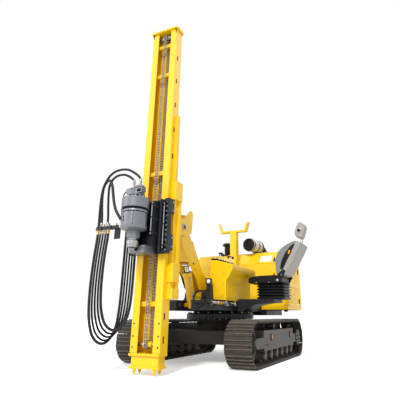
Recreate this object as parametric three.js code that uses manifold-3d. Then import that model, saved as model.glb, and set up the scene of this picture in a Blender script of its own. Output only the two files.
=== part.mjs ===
// Crawler-mounted pile driver and drilling rig, in millimetres.
// The machine's front, where the mast stands, faces -Y; +X is its left side and +Z is up.
// Every size below is measured from the slew axis (x = 0, y = 0) and the ground (z = 0).
// At the end the whole group is moved so that its origin lies under the middle of its box.
import * as THREE from 'three';
import { mergeVertices } from 'three/addons/utils/BufferGeometryUtils.js';
import Module from 'manifold-3d';

const wasm = await Module();
wasm.setup();

// ---------------------------------------------------------------- driving dimensions
const gap = 0.3; // between pieces that rest on each other
const run = 0.5; // running clearance of slides, pins and rods
const clear = 5; // between pieces that pass each other
const round = 32; // sides of a large round piece
const fine = 16; // sides of a small round piece

const track = {
  length: 2640, height: 600, width: 372, gauge: 1704,
  shoes: 36, grouser: 20, belt: 35,
  frameWidth: 318, frameLow: 200, frameHigh: 455, frameLength: 1480,
  rollers: 6, rollerRadius: 75,
};
const carbody = { beamY: 490, beamDepth: 220, low: 250, high: 440, tower: 380, towerTop: 560 };
const slew = { ring: 500, race: 430, ringTop: 600, flange: 550, flangeTop: 691, neck: 440 };
const deck = { half: 465, front: -1200, rear: 750, low: 720, high: 860, slotRear: -740, rearHalf: 560 };
const lug = { half: 118, thick: 47, radius: 85 };
const boomPin = [-810, 930]; // y, z of the boom's base pin
const cradlePin = [-1505, 1820]; // of the cradle's pin at the boom's head
const liftBase = [-960, 800];
const liftEye = [-1161, 1354];
const tiltBase = [-600, 1060];
const tiltEye = [-1330, 1980];
const boom = { inner: 90, plate: 22, head: 75, tube: 45, bearing: 125 };
const cylinder = { lift: 62.5, tilt: 50, rod: 30, eye: 42, eyeHalf: 40, liftBarrel: 470, tiltBarrel: 780 };
const mast = { half: 210, front: -2050, rear: -1890, low: 235, high: 4820, wall: 12, slot: 110 };
const foot = { plate: 25, boxLow: 75, spikeLow: 12, spike: 20, over: 25, lip: 3 };
const chain = { axis: -1985, radius: 48, link: 12, half: 25, low: 330, high: mast.high - 80 };
const carriage = { half: 284, front: -2120, thick: 60, low: 1364, high: 2045, clipRear: -2000 };
const head = { axis: -2430, drum: 165, lower: 150, neck: 80, split: 1840, low: 1500, top: 2160 };
const hose = { radius: 15, sides: 8, loops: 5, spacing: 42.5, rise: 0.028, arcs: 2 };
const hood = {
  left: -950, right: 955, front: 750, rear: 1700, low: 752, eaves: 1550, top: 1800, slope: 270,
  wall: 10, skin: 12,
};
const console = { inner: 200, outer: 465, ledge: 570, front: -790, rear: 200, top: 1443 };
const fork = { y: 620, half: 62.5, top: 2190, bar: 36, flat: 222, tip: 310, tipTop: 2350 };
const seat = { front: 617, back: 1159, low: 1118, top: 1238, near: -300, far: 180 };

// ---------------------------------------------------------------- making solids
/** A solid that can be joined and cut, from a closed three.js geometry. */
function solid(geometry) {
  geometry.deleteAttribute('normal');
  geometry.deleteAttribute('uv');
  const merged = mergeVertices(geometry, 1e-3);
  const index = merged.index.array;
  const triVerts = [];
  for (let i = 0; i < index.length; i += 3) {
    const [a, b, c] = [index[i], index[i + 1], index[i + 2]];
    if (a !== b && b !== c && c !== a) triVerts.push(a, b, c);
  }
  const vertProperties = merged.attributes.position.array;
  return new wasm.Manifold(new wasm.Mesh({ numProp: 3, vertProperties, triVerts: new Uint32Array(triVerts) }));
}

const join = (first, ...others) => others.reduce((whole, piece) => whole.add(piece), first);
const cut = (first, ...others) => others.reduce((whole, piece) => whole.subtract(piece), first);

/** A box from its low and high coordinates along each axis. */
function box([x0, x1], [y0, y1], [z0, z1]) {
  const geometry = new THREE.BoxGeometry(x1 - x0, y1 - y0, z1 - z0);
  return solid(geometry.translate((x0 + x1) / 2, (y0 + y1) / 2, (z0 + z1) / 2));
}

/** The same box on both sides of the machine's middle plane. */
function boxPair([x0, x1], y, z) {
  return [box([x0, x1], y, z), box([-x1, -x0], y, z)];
}

function extruded(outline, depth, holes = []) {
  const shape = new THREE.Shape(outline.map(([u, v]) => new THREE.Vector2(u, v)));
  shape.holes = holes.map((hole) => new THREE.Path(hole.map(([u, v]) => new THREE.Vector2(u, v))));
  return new THREE.ExtrudeGeometry(shape, { depth, bevelEnabled: false });
}

/** A (y, z) outline drawn out along X from x0 to x1. */
function alongX(outline, [x0, x1], holes = []) {
  const turn = new THREE.Matrix4().makeBasis(
    new THREE.Vector3(0, 1, 0), new THREE.Vector3(0, 0, 1), new THREE.Vector3(1, 0, 0),
  );
  return solid(extruded(outline, x1 - x0, holes).applyMatrix4(turn).translate(x0, 0, 0));
}

/** An (x, z) outline drawn out along Y from y0 to y1. */
function alongY(outline, [y0, y1]) {
  return solid(extruded(outline, y1 - y0).rotateX(Math.PI / 2).translate(0, y1, 0));
}

/** An (x, y) outline drawn out along Z from z0 to z1. */
function alongZ(outline, [z0, z1]) {
  return solid(extruded(outline, z1 - z0).translate(0, 0, z0));
}

/** A round bar along X, centred on (y, z). */
function barX(radius, [x0, x1], [y, z], sides = fine) {
  const geometry = new THREE.CylinderGeometry(radius, radius, x1 - x0, sides);
  return solid(geometry.rotateZ(-Math.PI / 2).translate((x0 + x1) / 2, y, z));
}

/** A round bar along Z, centred on (x, y), which may taper from its low radius to its high one. */
function barZ(low, high, [x, y], [z0, z1], sides = fine) {
  const geometry = new THREE.CylinderGeometry(high, low, z1 - z0, sides);
  return solid(geometry.rotateX(Math.PI / 2).translate(x, y, (z0 + z1) / 2));
}

/** A round bar along Y, centred on (x, z). */
function barY(radius, [x, z], [y0, y1], sides = fine) {
  const geometry = new THREE.CylinderGeometry(radius, radius, y1 - y0, sides);
  return solid(geometry.translate(x, (y0 + y1) / 2, z));
}

/** A turned piece about the vertical through (x, y), from its (radius, z) profile. */
function turned(profile, [x, y], sides = round) {
  const points = profile.map(([radius, z]) => new THREE.Vector2(radius, z));
  return solid(new THREE.LatheGeometry(points, sides).rotateX(Math.PI / 2).translate(x, y, 0));
}

/** Points of an arc about a centre, its angles in degrees. */
function arc([u, v], radius, from, to, steps) {
  return Array.from({ length: steps + 1 }, (_, i) => {
    const angle = THREE.MathUtils.degToRad(from + ((to - from) * i) / steps);
    return [u + radius * Math.cos(angle), v + radius * Math.sin(angle)];
  });
}

/** A length of a curve between two shares of its arc length. */
class Stretch extends THREE.Curve {
  constructor(curve, from, to) {
    super();
    Object.assign(this, { curve, from, to });
  }

  getPoint(t, target = new THREE.Vector3()) {
    return this.curve.getPointAt(this.from + (this.to - this.from) * t, target);
  }
}

/** A tube along a curve. */
function tube(curve, steps) {
  const section = new THREE.Shape().absarc(0, 0, hose.radius, 0, 2 * Math.PI);
  const options = { steps, extrudePath: curve, curveSegments: hose.sides / 2 }; // a full circle has twice these
  return solid(new THREE.ExtrudeGeometry(section, options));
}

// ---------------------------------------------------------------- bodies and materials
const rig = new THREE.Group();

/** A group for one moving body, placed at its pivot inside its parent. */
function bodyAt(parent, x, y, z) {
  const group = new THREE.Group();
  parent.add(group);
  group.position.copy(parent.worldToLocal(new THREE.Vector3(x, y, z)));
  group.updateWorldMatrix(true, false);
  return group;
}

const undercarriage = bodyAt(rig, 0, 0, 0);
const upper = bodyAt(undercarriage, 0, 0, slew.ringTop);
const boomBody = bodyAt(upper, 0, ...boomPin);
const liftBarrel = bodyAt(upper, 0, ...liftBase);
const liftRod = bodyAt(liftBarrel, 0, ...liftEye);
const tiltBarrel = bodyAt(boomBody, 0, ...tiltBase);
const tiltRod = bodyAt(tiltBarrel, 0, ...tiltEye);
const cradleBody = bodyAt(boomBody, 0, ...cradlePin);
const mastBody = bodyAt(cradleBody, 0, mast.front, mast.low);
const carriageBody = bodyAt(mastBody, 0, carriage.front, carriage.low);
const spindleBody = bodyAt(carriageBody, 0, head.axis, head.low);
const lidBody = bodyAt(upper, 0, hood.front + hood.slope, hood.top);
const doorBody = bodyAt(upper, hood.right, hood.front, hood.low);

const finish = (color, roughness, metalness) => new THREE.MeshStandardMaterial({ color, roughness, metalness });
const yellow = finish(0xf2b705, 0.35, 0.1);
const black = finish(0x1c1d20, 0.5, 0.2);
const frameGrey = finish(0x3a3b3d, 0.6, 0.3);
const shoeSteel = finish(0x4a4540, 0.55, 0.7);
const steel = finish(0xb9bbbe, 0.25, 1);
const headGrey = finish(0x9a9c9e, 0.45, 0.4);
const rubber = finish(0x17181a, 0.75, 0);
const trim = finish(0x2a2c30, 0.8, 0);
const paleTrim = finish(0xb4b2ac, 0.8, 0);

/** Adds one named piece, made in the machine's frame, to its body. */
function piece(name, body, made, material) {
  const { vertProperties, triVerts } = made.getMesh();
  const geometry = new THREE.BufferGeometry();
  geometry.setAttribute('position', new THREE.BufferAttribute(vertProperties, 3));
  geometry.setIndex(new THREE.BufferAttribute(triVerts, 1));
  const pivot = body.getWorldPosition(new THREE.Vector3());
  geometry.translate(-pivot.x, -pivot.y, -pivot.z);
  geometry.computeVertexNormals();
  const mesh = new THREE.Mesh(geometry, material);
  mesh.name = name;
  body.add(mesh);
}

// ---------------------------------------------------------------- undercarriage
const wheelY = (track.length - track.height) / 2; // the loop's end centres
const loopInner = track.height / 2 - track.grouser - track.belt;
const frameInner = track.gauge / 2 - track.frameWidth / 2;

/** The point at a distance along the belt's loop, offset outwards from its middle line. */
function loopPoint(distance, offset) {
  const straight = 2 * wheelY;
  const bend = Math.PI * loopInner;
  const s = ((distance % (2 * (straight + bend))) + 2 * (straight + bend)) % (2 * (straight + bend));
  const middle = track.height / 2;
  if (s < straight) return [wheelY - s, middle + offset];
  if (s < straight + bend) {
    const angle = Math.PI / 2 + (s - straight) / loopInner;
    return [-wheelY + offset * Math.cos(angle), middle + offset * Math.sin(angle)];
  }
  if (s < 2 * straight + bend) return [s - straight - bend - wheelY, middle - offset];
  const angle = -Math.PI / 2 + (s - 2 * straight - bend) / loopInner;
  return [wheelY + offset * Math.cos(angle), middle + offset * Math.sin(angle)];
}

/** One closed track: every shoe is a plate with a grouser bar across its middle. */
function trackBelt(side) {
  const pitch = (4 * wheelY + 2 * Math.PI * loopInner) / track.shoes;
  const bar = track.height / 2;
  const plate = bar - track.grouser;
  const shoe = [[-0.09, plate], [-0.05, bar], [0.05, bar], [0.09, plate]];
  const outline = [];
  for (let i = 0; i < track.shoes; i += 1) {
    for (const [share, offset] of shoe) outline.push(loopPoint((i + 0.5 + share) * pitch, offset));
  }
  const middle = track.height / 2;
  const inner = [
    ...arc([wheelY, middle], loopInner, -90, 90, 10),
    ...arc([-wheelY, middle], loopInner, 90, 270, 10),
  ];
  const centre = (side * track.gauge) / 2;
  return alongX(outline, [centre - track.width / 2, centre + track.width / 2], [inner]);
}

/** The side frame: a beam with fork arms for both end wheels, bottom rollers and a carrier roller. */
function trackFrame(side) {
  const span = (from, to) => (side > 0 ? [from, to] : [-to, -from]);
  const outer = frameInner + track.frameWidth;
  const beamY = track.frameLength / 2;
  const middle = track.height / 2;
  const armTip = arc([wheelY, middle], 65, -90, 90, 6);
  const rearTip = arc([-wheelY, middle], 65, 90, 270, 6);
  const arms = [...armTip, ...rearTip];
  const inside = middle - loopInner;
  const rollerX = span(track.gauge / 2 - 70, track.gauge / 2 + 70);
  let frame = join(
    box(span(frameInner, outer), [-beamY, beamY], [track.frameLow, track.frameHigh]),
    alongX(arms, span(frameInner, frameInner + 80)),
    alongX(arms, span(outer - 80, outer)),
  );
  for (let i = 0; i < track.rollers; i += 1) {
    const y = -650 + (1300 * i) / (track.rollers - 1);
    frame = frame.add(barX(track.rollerRadius, rollerX, [y, inside + gap + track.rollerRadius], fine));
  }
  const carrier = 45;
  const carrierZ = track.height - inside - gap - carrier;
  return join(
    frame,
    barX(carrier, rollerX, [0, carrierZ], fine),
    box(span(track.gauge / 2 - 30, track.gauge / 2 + 30), [-30, 30], [track.frameHigh - 15, carrierZ]),
  );
}

/** An end wheel with the hub that its frame arms carry. */
function endWheel(side, y, hub) {
  const half = track.frameWidth / 2 - 80 - gap;
  const centre = (side * track.gauge) / 2;
  return join(
    barX(loopInner - clear, [centre - 62, centre + 62], [y, track.height / 2], round),
    barX(hub, [centre - half, centre + half], [y, track.height / 2], fine),
  );
}

for (const [side, name] of [[1, 'left'], [-1, 'right']]) {
  piece(`track_belt_${name}`, undercarriage, trackBelt(side), shoeSteel);
  piece(`track_frame_${name}`, undercarriage, trackFrame(side), frameGrey);
  piece(`idler_${name}`, undercarriage, endWheel(side, -wheelY, 90), frameGrey);
  piece(`sprocket_${name}`, undercarriage, endWheel(side, wheelY, 140), frameGrey);
}

function crossBeam(y) {
  const reach = frameInner - gap;
  return box([-reach, reach], [y - carbody.beamDepth / 2, y + carbody.beamDepth / 2], [carbody.low, carbody.high]);
}

piece('carbody', undercarriage, join(
  crossBeam(-carbody.beamY),
  crossBeam(carbody.beamY),
  box([-carbody.tower, carbody.tower], [-carbody.beamY, carbody.beamY], [carbody.low, carbody.high]),
  barZ(carbody.tower, carbody.tower, [0, 0], [carbody.high - 10, carbody.towerTop], round),
), frameGrey);

const raceTop = slew.ringTop + clear - gap;
piece('ring_gear', undercarriage, turned([
  [carbody.tower - 80, carbody.towerTop + gap], [slew.ring, carbody.towerTop + gap], [slew.ring, slew.ringTop],
  [slew.race, slew.ringTop], [slew.race, raceTop], [carbody.tower - 80, raceTop],
  [carbody.tower - 80, carbody.towerTop + gap],
], [0, 0]), shoeSteel);

// ---------------------------------------------------------------- upper structure
piece('slew_flange', upper, turned([
  [0, slew.ringTop + clear], [slew.flange, slew.ringTop + clear], [slew.flange, slew.flangeTop],
  [slew.neck, slew.flangeTop], [slew.neck, deck.low - gap], [0, deck.low - gap],
], [0, 0]), black);

/** An ear that stands on the deck beside the slot and holds the boom's base. */
function boomLug([x0, x1]) {
  const [y, z] = boomPin;
  return alongX([
    [y - 190, deck.high - 20], [y + 170, deck.high - 20], ...arc(boomPin, lug.radius, -10, 190, 12), [y - 120, z - 60],
  ], [x0, x1]);
}

function deckFrame() {
  const plate = cut(
    box([-deck.half, deck.half], [deck.front, deck.rear], [deck.low, deck.high]),
    box([-lug.half, lug.half], [deck.front - 1, deck.slotRear], [deck.low - 1, deck.high + 1]),
  );
  return join(
    plate,
    boomLug([lug.half, lug.half + lug.thick]),
    boomLug([-lug.half - lug.thick, -lug.half]),
    box([-deck.rearHalf, deck.rearHalf], [deck.rear - 10, hood.rear - 10], [deck.low - 60, hood.low - gap]),
  );
}
piece('deck', upper, deckFrame(), black);

piece('console', upper, alongY([
  [console.inner, deck.high + gap], [console.outer, deck.high + gap], [console.outer, 1130], [console.ledge, 1290],
  [console.ledge, 1370], [console.inner + 100, console.top], [console.inner, console.top],
], [console.front, console.rear]), yellow);

/** Six control levers on a low block along the console's top. */
function leverBank() {
  const [x, low] = [console.inner + 50, console.top + gap];
  let bank = box([x - 40, x + 40], [-560, -20], [low, low + 30]);
  for (let i = 0; i < 6; i += 1) {
    const y = -520 + i * 92;
    bank = join(bank, barZ(6, 6, [x, y], [low + 25, low + 130], 8), barZ(14, 16, [x, y], [low + 125, low + 165], 8));
  }
  return bank;
}
piece('lever_bank', upper, leverBank(), trim);

const hoodFront = hood.front + gap;
const eaves = [hoodFront, hood.eaves];
const ridge = [hood.front + hood.slope, hood.top];

function engineHousing() {
  const t = hood.wall;
  const shell = alongX([
    [hoodFront, hood.low], eaves, ridge, [hood.rear, hood.top], [hood.rear, hood.low],
  ], [hood.left, hood.right]);
  const space = alongX([
    [hoodFront + t, hood.low - 1], [hoodFront + t, hood.eaves - 4], [ridge[0] + 4, hood.top - t],
    [hood.rear - t, hood.top - t], [hood.rear - t, hood.low - 1],
  ], [hood.left + t, hood.right - t]);
  const doorway = box([hood.right - 2 * t, hood.right + 5], [doorOpening.near, doorOpening.far],
    [doorOpening.low, doorOpening.high]);
  const hatch = alongX(slopeBand(40, slopeLength - 50, -3 * t, 5), [lid.left + 25, lid.right - 25]);
  return cut(shell, space, doorway, hatch);
}

const doorOpening = { near: 800, far: 1500, low: 830, high: 1530 };
const doorOver = 12; // how far the door laps over its opening
const lid = { left: 420, right: 925 };
const slopeLength = Math.hypot(ridge[0] - eaves[0], ridge[1] - eaves[1]);

/** A (y, z) band along the hood's front slope, between two distances up it and two heights off it. */
function slopeBand(from, to, low, high) {
  const along = [(ridge[0] - eaves[0]) / slopeLength, (ridge[1] - eaves[1]) / slopeLength];
  const at = (s, h) => [eaves[0] + along[0] * s - along[1] * h, eaves[1] + along[1] * s + along[0] * h];
  return [at(from, low), at(to, low), at(to, high), at(from, high)];
}

piece('engine_housing', upper, engineHousing(), yellow);
piece('engine_block', upper, box([-420, 520], [930, 1560], [hood.low, 1380]), frameGrey);
piece('hood_lid', lidBody, alongX(slopeBand(12, slopeLength - 10, gap, gap + hood.skin), [lid.left, lid.right]), yellow);
piece('grille_door', doorBody, box(
  [hood.right + gap, hood.right + gap + hood.skin], [doorOpening.near - doorOver, doorOpening.far + doorOver],
  [doorOpening.low - doorOver, doorOpening.high + doorOver],
), yellow);

/** The post with its forked top, on which the lowered mast travels. */
function forkRest() {
  const { top, bar, flat, tip, tipTop } = fork;
  const half = [
    [flat, top], [flat + 28, top + 70], [tip - 26, tipTop], [tip, tipTop - 18], [flat + 62, top + 50], [flat + 30, top - bar],
  ];
  const other = half.map(([x, z]) => [-x, z]).reverse();
  return join(
    box([-fork.half, fork.half], [fork.y - fork.half, fork.y + fork.half], [deck.high + gap, top - bar + 5]),
    alongY([...half, ...other], [fork.y - 50, fork.y + 50]),
  );
}
piece('fork_rest', upper, forkRest(), yellow);

/** The air filter's canister on two feet, its axis skewed across the hood. */
function airFilter() {
  const [radius, length, high, skew] = [125, 450, 1950, THREE.MathUtils.degToRad(10)];
  const parts = [
    barY(radius, [0, high], [0, length], round),
    box([-45, 45], [250, 290], [hood.top + gap, high - radius + 20]),
    box([-45, 45], [400, 440], [hood.top + gap, high - radius + 20]),
  ];
  return join(...parts).rotate([0, 0, -THREE.MathUtils.radToDeg(skew)]).translate([200, 830, 0]);
}
piece('air_filter', upper, airFilter(), trim);
piece('precleaner', upper, turned([
  [0, hood.top + gap], [75, hood.top + gap], [75, 1985], [112, 1998], [112, 2030], [80, 2050], [0, 2055],
], [-340, 1100], 24), black);

// ---------------------------------------------------------------- lamp, seat and valve line
const lamp = { x: 235, y: -900, z: 1125, half: 45, depth: 60 };
piece('lamp_bracket', upper, alongX([
  [lamp.y - 10, deck.high + gap], [lamp.y + 100, deck.high + gap], [lamp.y + 50, lamp.z - lamp.half - gap],
  [lamp.y, lamp.z - lamp.half - gap],
], [lamp.x - 35, lamp.x + 35]), black);
piece('work_lamp', upper, box([lamp.x - lamp.half, lamp.x + lamp.half], [lamp.y - 10, lamp.y - 10 + lamp.depth],
  [lamp.z - lamp.half, lamp.z + lamp.half]), trim);

const armTop = 887;
const baseY = [-360, 50];
piece('seat_bracket', upper, alongY([
  [deck.half + gap, 715], [560, 715], [640, 760], [760, 812], [980, 838], [1060, 840], [1060, armTop],
  [deck.half + gap, armTop],
], baseY), black);

/** The seat's bellows: a stack of folds. */
function seatBellows() {
  const [left, right, low, high, folds] = [740, 1190, armTop + gap, seat.low - gap, 4];
  const step = (high - low) / folds;
  const side = (x, inset) => Array.from({ length: 2 * folds + 1 }, (_, i) => [
    x + (i % 2 ? 0 : inset), low + (i * step) / 2,
  ]);
  return alongY([...side(right, -30), ...side(left, 30).reverse()], [seat.near + 20, seat.far - 20]);
}
piece('seat_base', upper, seatBellows(), rubber);
piece('seat_cushion', upper, box([seat.front, seat.back], [seat.near, seat.far], [seat.low, seat.top]), trim);
piece('seat_back', upper, alongY([
  [1080, seat.top + gap], [1225, seat.top + gap], [1489, 1692], [1394, 1747], [1250, 1690], [1120, 1590], [1068, 1456],
], [seat.near, seat.far]), paleTrim);

/** The headrest and its two posts, which rise from the back's top edge. */
function headrest() {
  const middle = (seat.near + seat.far) / 2;
  const post = (y) => alongY([[1438, 1722.2], [1451, 1714.6], [1480, 1830], [1458, 1836]], [y - 7, y + 7]);
  return join(
    alongY([[1376, 1842], [1478, 1796], [1545, 1992], [1500, 2046], [1436, 2060], [1368, 1915]], [middle - 88, middle + 88]),
    post(middle - 50),
    post(middle + 50),
  );
}
piece('headrest', upper, headrest(), paleTrim);

piece('valve_line', upper, join(
  barY(14, [deck.half + gap + 22, 810], [-1330, -500]),
  box([deck.half + gap, deck.half + 50], [-880, -800], [780, 850]),
  box([deck.half + gap, deck.half + 45], [-540, -500], [785, 835]),
), steel);

// ---------------------------------------------------------------- boom and its cylinders
/** Unit vector from one (y, z) point to another, and the distance. */
function towards([y0, z0], [y1, z1]) {
  const length = Math.hypot(y1 - y0, z1 - z0);
  return { unit: [(y1 - y0) / length, (z1 - z0) / length], length };
}

/** A point on the line from one (y, z) point to another: along it, and off it towards the rear. */
function lineFrame(from, to) {
  const { unit } = towards(from, to);
  return (s, off) => [from[0] + unit[0] * s + unit[1] * off, from[1] + unit[1] * s - unit[0] * off];
}

const onBoom = lineFrame(boomPin, cradlePin);

function boomPlate(x) {
  const outline = [
    ...arc(boomPin, boom.head, 190, 300, 8),
    ...arc(tiltBase, 60, 290, 400, 8),
    onBoom(350, 137), [-1262, 1731],
    ...arc(cradlePin, boom.head, 53, 205, 10),
    [-1469, 1564], [-1021, 1135],
  ];
  const slot = [...arc(onBoom(480, -15), 33, 37, -143, 6).reverse(), ...arc(onBoom(405, -15), 33, 217, 37, 6).reverse()];
  return alongX(outline, x, [slot]);
}

function boomSolid() {
  const { inner, plate, tube: r, bearing } = boom;
  const band = (s0, s1, off0, off1) => [onBoom(s0, off0), onBoom(s0, off1), onBoom(s1, off1), onBoom(s1, off0)];
  const stub = (x) => barX(34, x, liftEye, fine);
  return join(
    boomPlate([inner, inner + plate]),
    boomPlate([-inner - plate, -inner]),
    barX(r, [-lug.half + gap, lug.half - gap], boomPin, 24),
    barX(r, [-bearing + gap, bearing - gap], cradlePin, 24),
    alongX(band(120, 380, 60, 80), [-inner - 5, inner + 5]),
    alongX(band(640, 1000, -95, -75), [-inner - 5, inner + 5]),
    stub([cylinder.eye, inner + 5]),
    stub([-inner - 5, -cylinder.eye]),
  );
}
piece('boom', boomBody, boomSolid(), yellow);

/** A hydraulic barrel from its base pin towards the rod's eye, bored for the rod. */
function barrel(base, eye, radius, length, pinHalf) {
  const at = lineFrame(base, eye);
  const body = lathed([[0, 0], [radius, 0], [radius, length], [cylinder.rod + run, length],
    [cylinder.rod + run, 110], [0, 110]], at);
  return join(body, barX(radius * 0.92, [-cylinder.eyeHalf, cylinder.eyeHalf], base), barX(28, [-pinHalf, pinHalf], base));
}

/** A turned piece whose axis lies in the machine's middle plane. */
function lathed(profile, at) {
  const [origin, next] = [at(0, 0), at(1, 0)];
  const turn = Math.atan2(next[1] - origin[1], next[0] - origin[0]) - Math.PI / 2;
  const points = profile.map(([radius, s]) => new THREE.Vector2(radius, s));
  const geometry = new THREE.LatheGeometry(points, 24).rotateX(Math.PI / 2);
  return solid(geometry.rotateX(turn).translate(0, ...origin));
}

/** A rod with its eye; its tail runs inside the barrel. */
function rod(base, eye, tail) {
  const at = lineFrame(base, eye);
  const { length } = towards(base, eye);
  const shaft = lathed([[0, tail], [cylinder.rod, tail], [cylinder.rod, length - 20], [0, length - 20]], at);
  return join(shaft, barX(cylinder.eye, [-cylinder.eyeHalf, cylinder.eyeHalf], eye, 24));
}

piece('lift_barrel', liftBarrel, barrel(liftBase, liftEye, cylinder.lift, cylinder.liftBarrel, lug.half - gap), yellow);
piece('lift_rod', liftRod, rod(liftBase, liftEye, 200), steel);
piece('tilt_barrel', tiltBarrel, barrel(tiltBase, tiltEye, cylinder.tilt, cylinder.tiltBarrel, boom.inner - gap), yellow);
piece('tilt_rod', tiltRod, rod(tiltBase, tiltEye, 420), steel);

// ---------------------------------------------------------------- cradle
const backPlate = { front: -1875, rear: -1820, half: 280, low: 950, high: 2330, guideHigh: 3330 };

function cradlePlate(x) {
  return alongX([
    [backPlate.rear - 5, 1660], [-1644, 1690], [-1420, 1700], [-1288, 1770],
    ...arc([-1318, 2041], 55, -20, 150, 8), [-1470, 1960], [-1600, 1920], [backPlate.rear - 5, 1930],
  ], x);
}

/** Guides that hold the mast by its sides; the right-hand ones leave room for the hose arm. */
function cradleGuides() {
  const [inner, outer] = [mast.half + run, mast.half + 80];
  const spans = [[2080, 2330], [1034, 1264], [836, 960]];
  const guides = [box([inner, inner + 40], [-1960, backPlate.rear], [960, backPlate.high]),
    box([inner, inner + 40], [-1960, -1900], [backPlate.high - 10, backPlate.guideHigh])];
  for (const z of spans) {
    guides.push(box([inner, outer], [-1975, backPlate.rear], z));
    guides.push(box([-outer, -inner], [-1930, backPlate.rear], z));
  }
  return guides;
}

function cradleSolid() {
  const [y, z] = tiltEye;
  const clevis = (x) => alongX([[-1660, 1925], [y - 20, z - 55], ...arc(tiltEye, 55, -60, 100, 8), [-1660, 1990]], x);
  const eye = [cylinder.eye, cylinder.eye + 20];
  return join(
    box([-backPlate.half, backPlate.half], [backPlate.front, backPlate.rear], [836, backPlate.high]),
    cradlePlate([boom.bearing, boom.bearing + 22]),
    cradlePlate([-boom.bearing - 22, -boom.bearing]),
    box([-boom.bearing - 5, boom.bearing + 5], [-1660, -1545], [1925, 1950]),
    clevis(eye),
    clevis([-eye[1], -eye[0]]),
    ...cradleGuides(),
  );
}
piece('cradle', cradleBody, cradleSolid(), yellow);

// ---------------------------------------------------------------- mast
function mastFrame() {
  const { half, front, rear, wall, slot, low, high } = mast;
  const inner = half - wall;
  const section = [
    [-half, front], [-slot, front], [-slot, front + wall], [-inner, front + wall], [-inner, rear - wall],
    [inner, rear - wall], [inner, front + wall], [slot, front + wall], [slot, front], [half, front],
    [half, rear], [-half, rear],
  ];
  const tieZ = [782, 2474, high - 765, high - 232];
  const ties = tieZ.map((z) => box([-inner - 5, inner + 5], [-2000, -1972], [z - 30, z + 30]));
  return join(alongZ(section, [low + gap, high - gap]), ...ties);
}
piece('mast_frame', mastBody, mastFrame(), yellow);

function mastFoot() {
  const { plate, boxLow, spikeLow, spike, lip } = foot;
  const shelf = mast.low - plate;
  const rows = [mast.front + 15, mast.rear - 35];
  const spikes = [-140, 140].flatMap((x) => rows.map((y) => barZ(4, spike, [x, y], [spikeLow, boxLow + 5], 8)));
  return join(
    box([-mast.half - lip, mast.half + lip], [mast.front - 15, mast.rear + lip], [shelf, mast.low]),
    box([-mast.half + 22, mast.half - 22], [mast.front + 10, mast.rear - 10], [boxLow, shelf + 5]),
    box([-mast.half, mast.half], [mast.front - 10, mast.rear], [boxLow, boxLow + 20]),
    ...spikes,
  );
}
piece('mast_foot', mastBody, mastFoot(), yellow);
piece('mast_top', mastBody, join(
  box([-mast.half - foot.over, mast.half + foot.over], [mast.front - 20, mast.rear + 20], [mast.high, mast.high + 30]),
  box([-90, 90], [mast.front + 20, mast.rear - 20], [mast.high + 25, mast.high + 50]),
), yellow);

function feedChain() {
  const { axis, radius, link, half, low, high } = chain;
  const loop = (r) => [...arc([axis, high], r, 0, 180, 12), ...arc([axis, low], r, 180, 360, 12)];
  const shaft = mast.half - mast.wall - gap;
  return join(
    alongX(loop(radius + link), [-half, half], [loop(radius)]),
    ...[low, high].map((z) => barX(radius + 3, [-half + 8, half - 8], [axis, z], 24)),
    ...[low, high].map((z) => barX(22, [-shaft, shaft], [axis, z], 12)),
  );
}
piece('feed_chain', mastBody, feedChain(), shoeSteel);

const feedCylinder = { x: 80, y: -1940, radius: 25, low: 2700, high: mast.high - 320 };
piece('feed_cylinder', mastBody, join(
  barZ(feedCylinder.radius, feedCylinder.radius, [feedCylinder.x, feedCylinder.y],
    [feedCylinder.low, feedCylinder.high]),
  box([60, 100], [feedCylinder.y, mast.rear - mast.wall - gap],
    [feedCylinder.low + 20, feedCylinder.low + 80]),
  box([60, 100], [feedCylinder.y, mast.rear - mast.wall - gap],
    [feedCylinder.high - 80, feedCylinder.high - 20]),
), steel);

const armZ = 1925;
piece('hose_arm', mastBody, join(
  box([-500, -mast.half - gap], [-1990, -1945], [armZ, armZ + 50]),
  box([-240, -mast.half - gap], [-1990, -1942], [armZ - 60, armZ + 110]),
), yellow);

// ---------------------------------------------------------------- carriage and drive head
function carriagePlate() {
  const { half, front, thick, low, high, clipRear } = carriage;
  const clip = [mast.half + run, half + 1];
  const rib = [[front + 5, 1400], [front - 180, 1480], [front - 180, 1960], [front + 5, 2030]].reverse();
  const plate = join(
    box([-half, half], [front, front + thick], [low, high]),
    ...boxPair(clip, [front, clipRear], [1410, 1600]),
    ...boxPair(clip, [front, clipRear], [1870, 2060]),
    alongX(rib, [150, 175]),
    alongX(rib, [-175, -150]),
    box([-110, 110], [head.axis + 100, front + 5], [1620, 1980]),
  );
  return plate.subtract(barZ(head.drum + gap, head.drum + gap, [0, head.axis], [1500, 2100], round));
}
piece('carriage_plate', carriageBody, carriagePlate(), black);

const portX = [-50, 50];
const portTop = 2190;
piece('head_upper', carriageBody, join(
  turned([
    [0, head.split + gap], [head.drum, head.split + gap], [head.drum, 1985], [150, 2005], [105, 2010],
    [105, head.top - 10], [95, head.top], [0, head.top],
  ], [0, head.axis]),
  ...portX.map((x) => barZ(22, 22, [x, head.axis], [head.top - 5, portTop], 12)),
), headGrey);

const stub = { radius: 40, high: 1560 }; // the spindle's shaft, which turns inside the head
piece('head_lower', carriageBody, turned([
  [0, stub.high + 10], [stub.radius + run, stub.high + 10], [stub.radius + run, head.low], [head.neck, head.low],
  [head.neck, 1590], [head.lower, 1605], [head.lower, head.split], [0, head.split],
], [0, head.axis]), headGrey);
piece('spindle', spindleBody, turned([
  [0, 1400], [50, 1400], [50, 1455], [70, 1462], [70, head.low - run], [stub.radius, head.low - run],
  [stub.radius, stub.high], [0, stub.high],
], [0, head.axis]), steel);
piece('guide_block', carriageBody, box([-110, 110], [-2345, carriage.front - gap], [1350, 1440]), headGrey);

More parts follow.
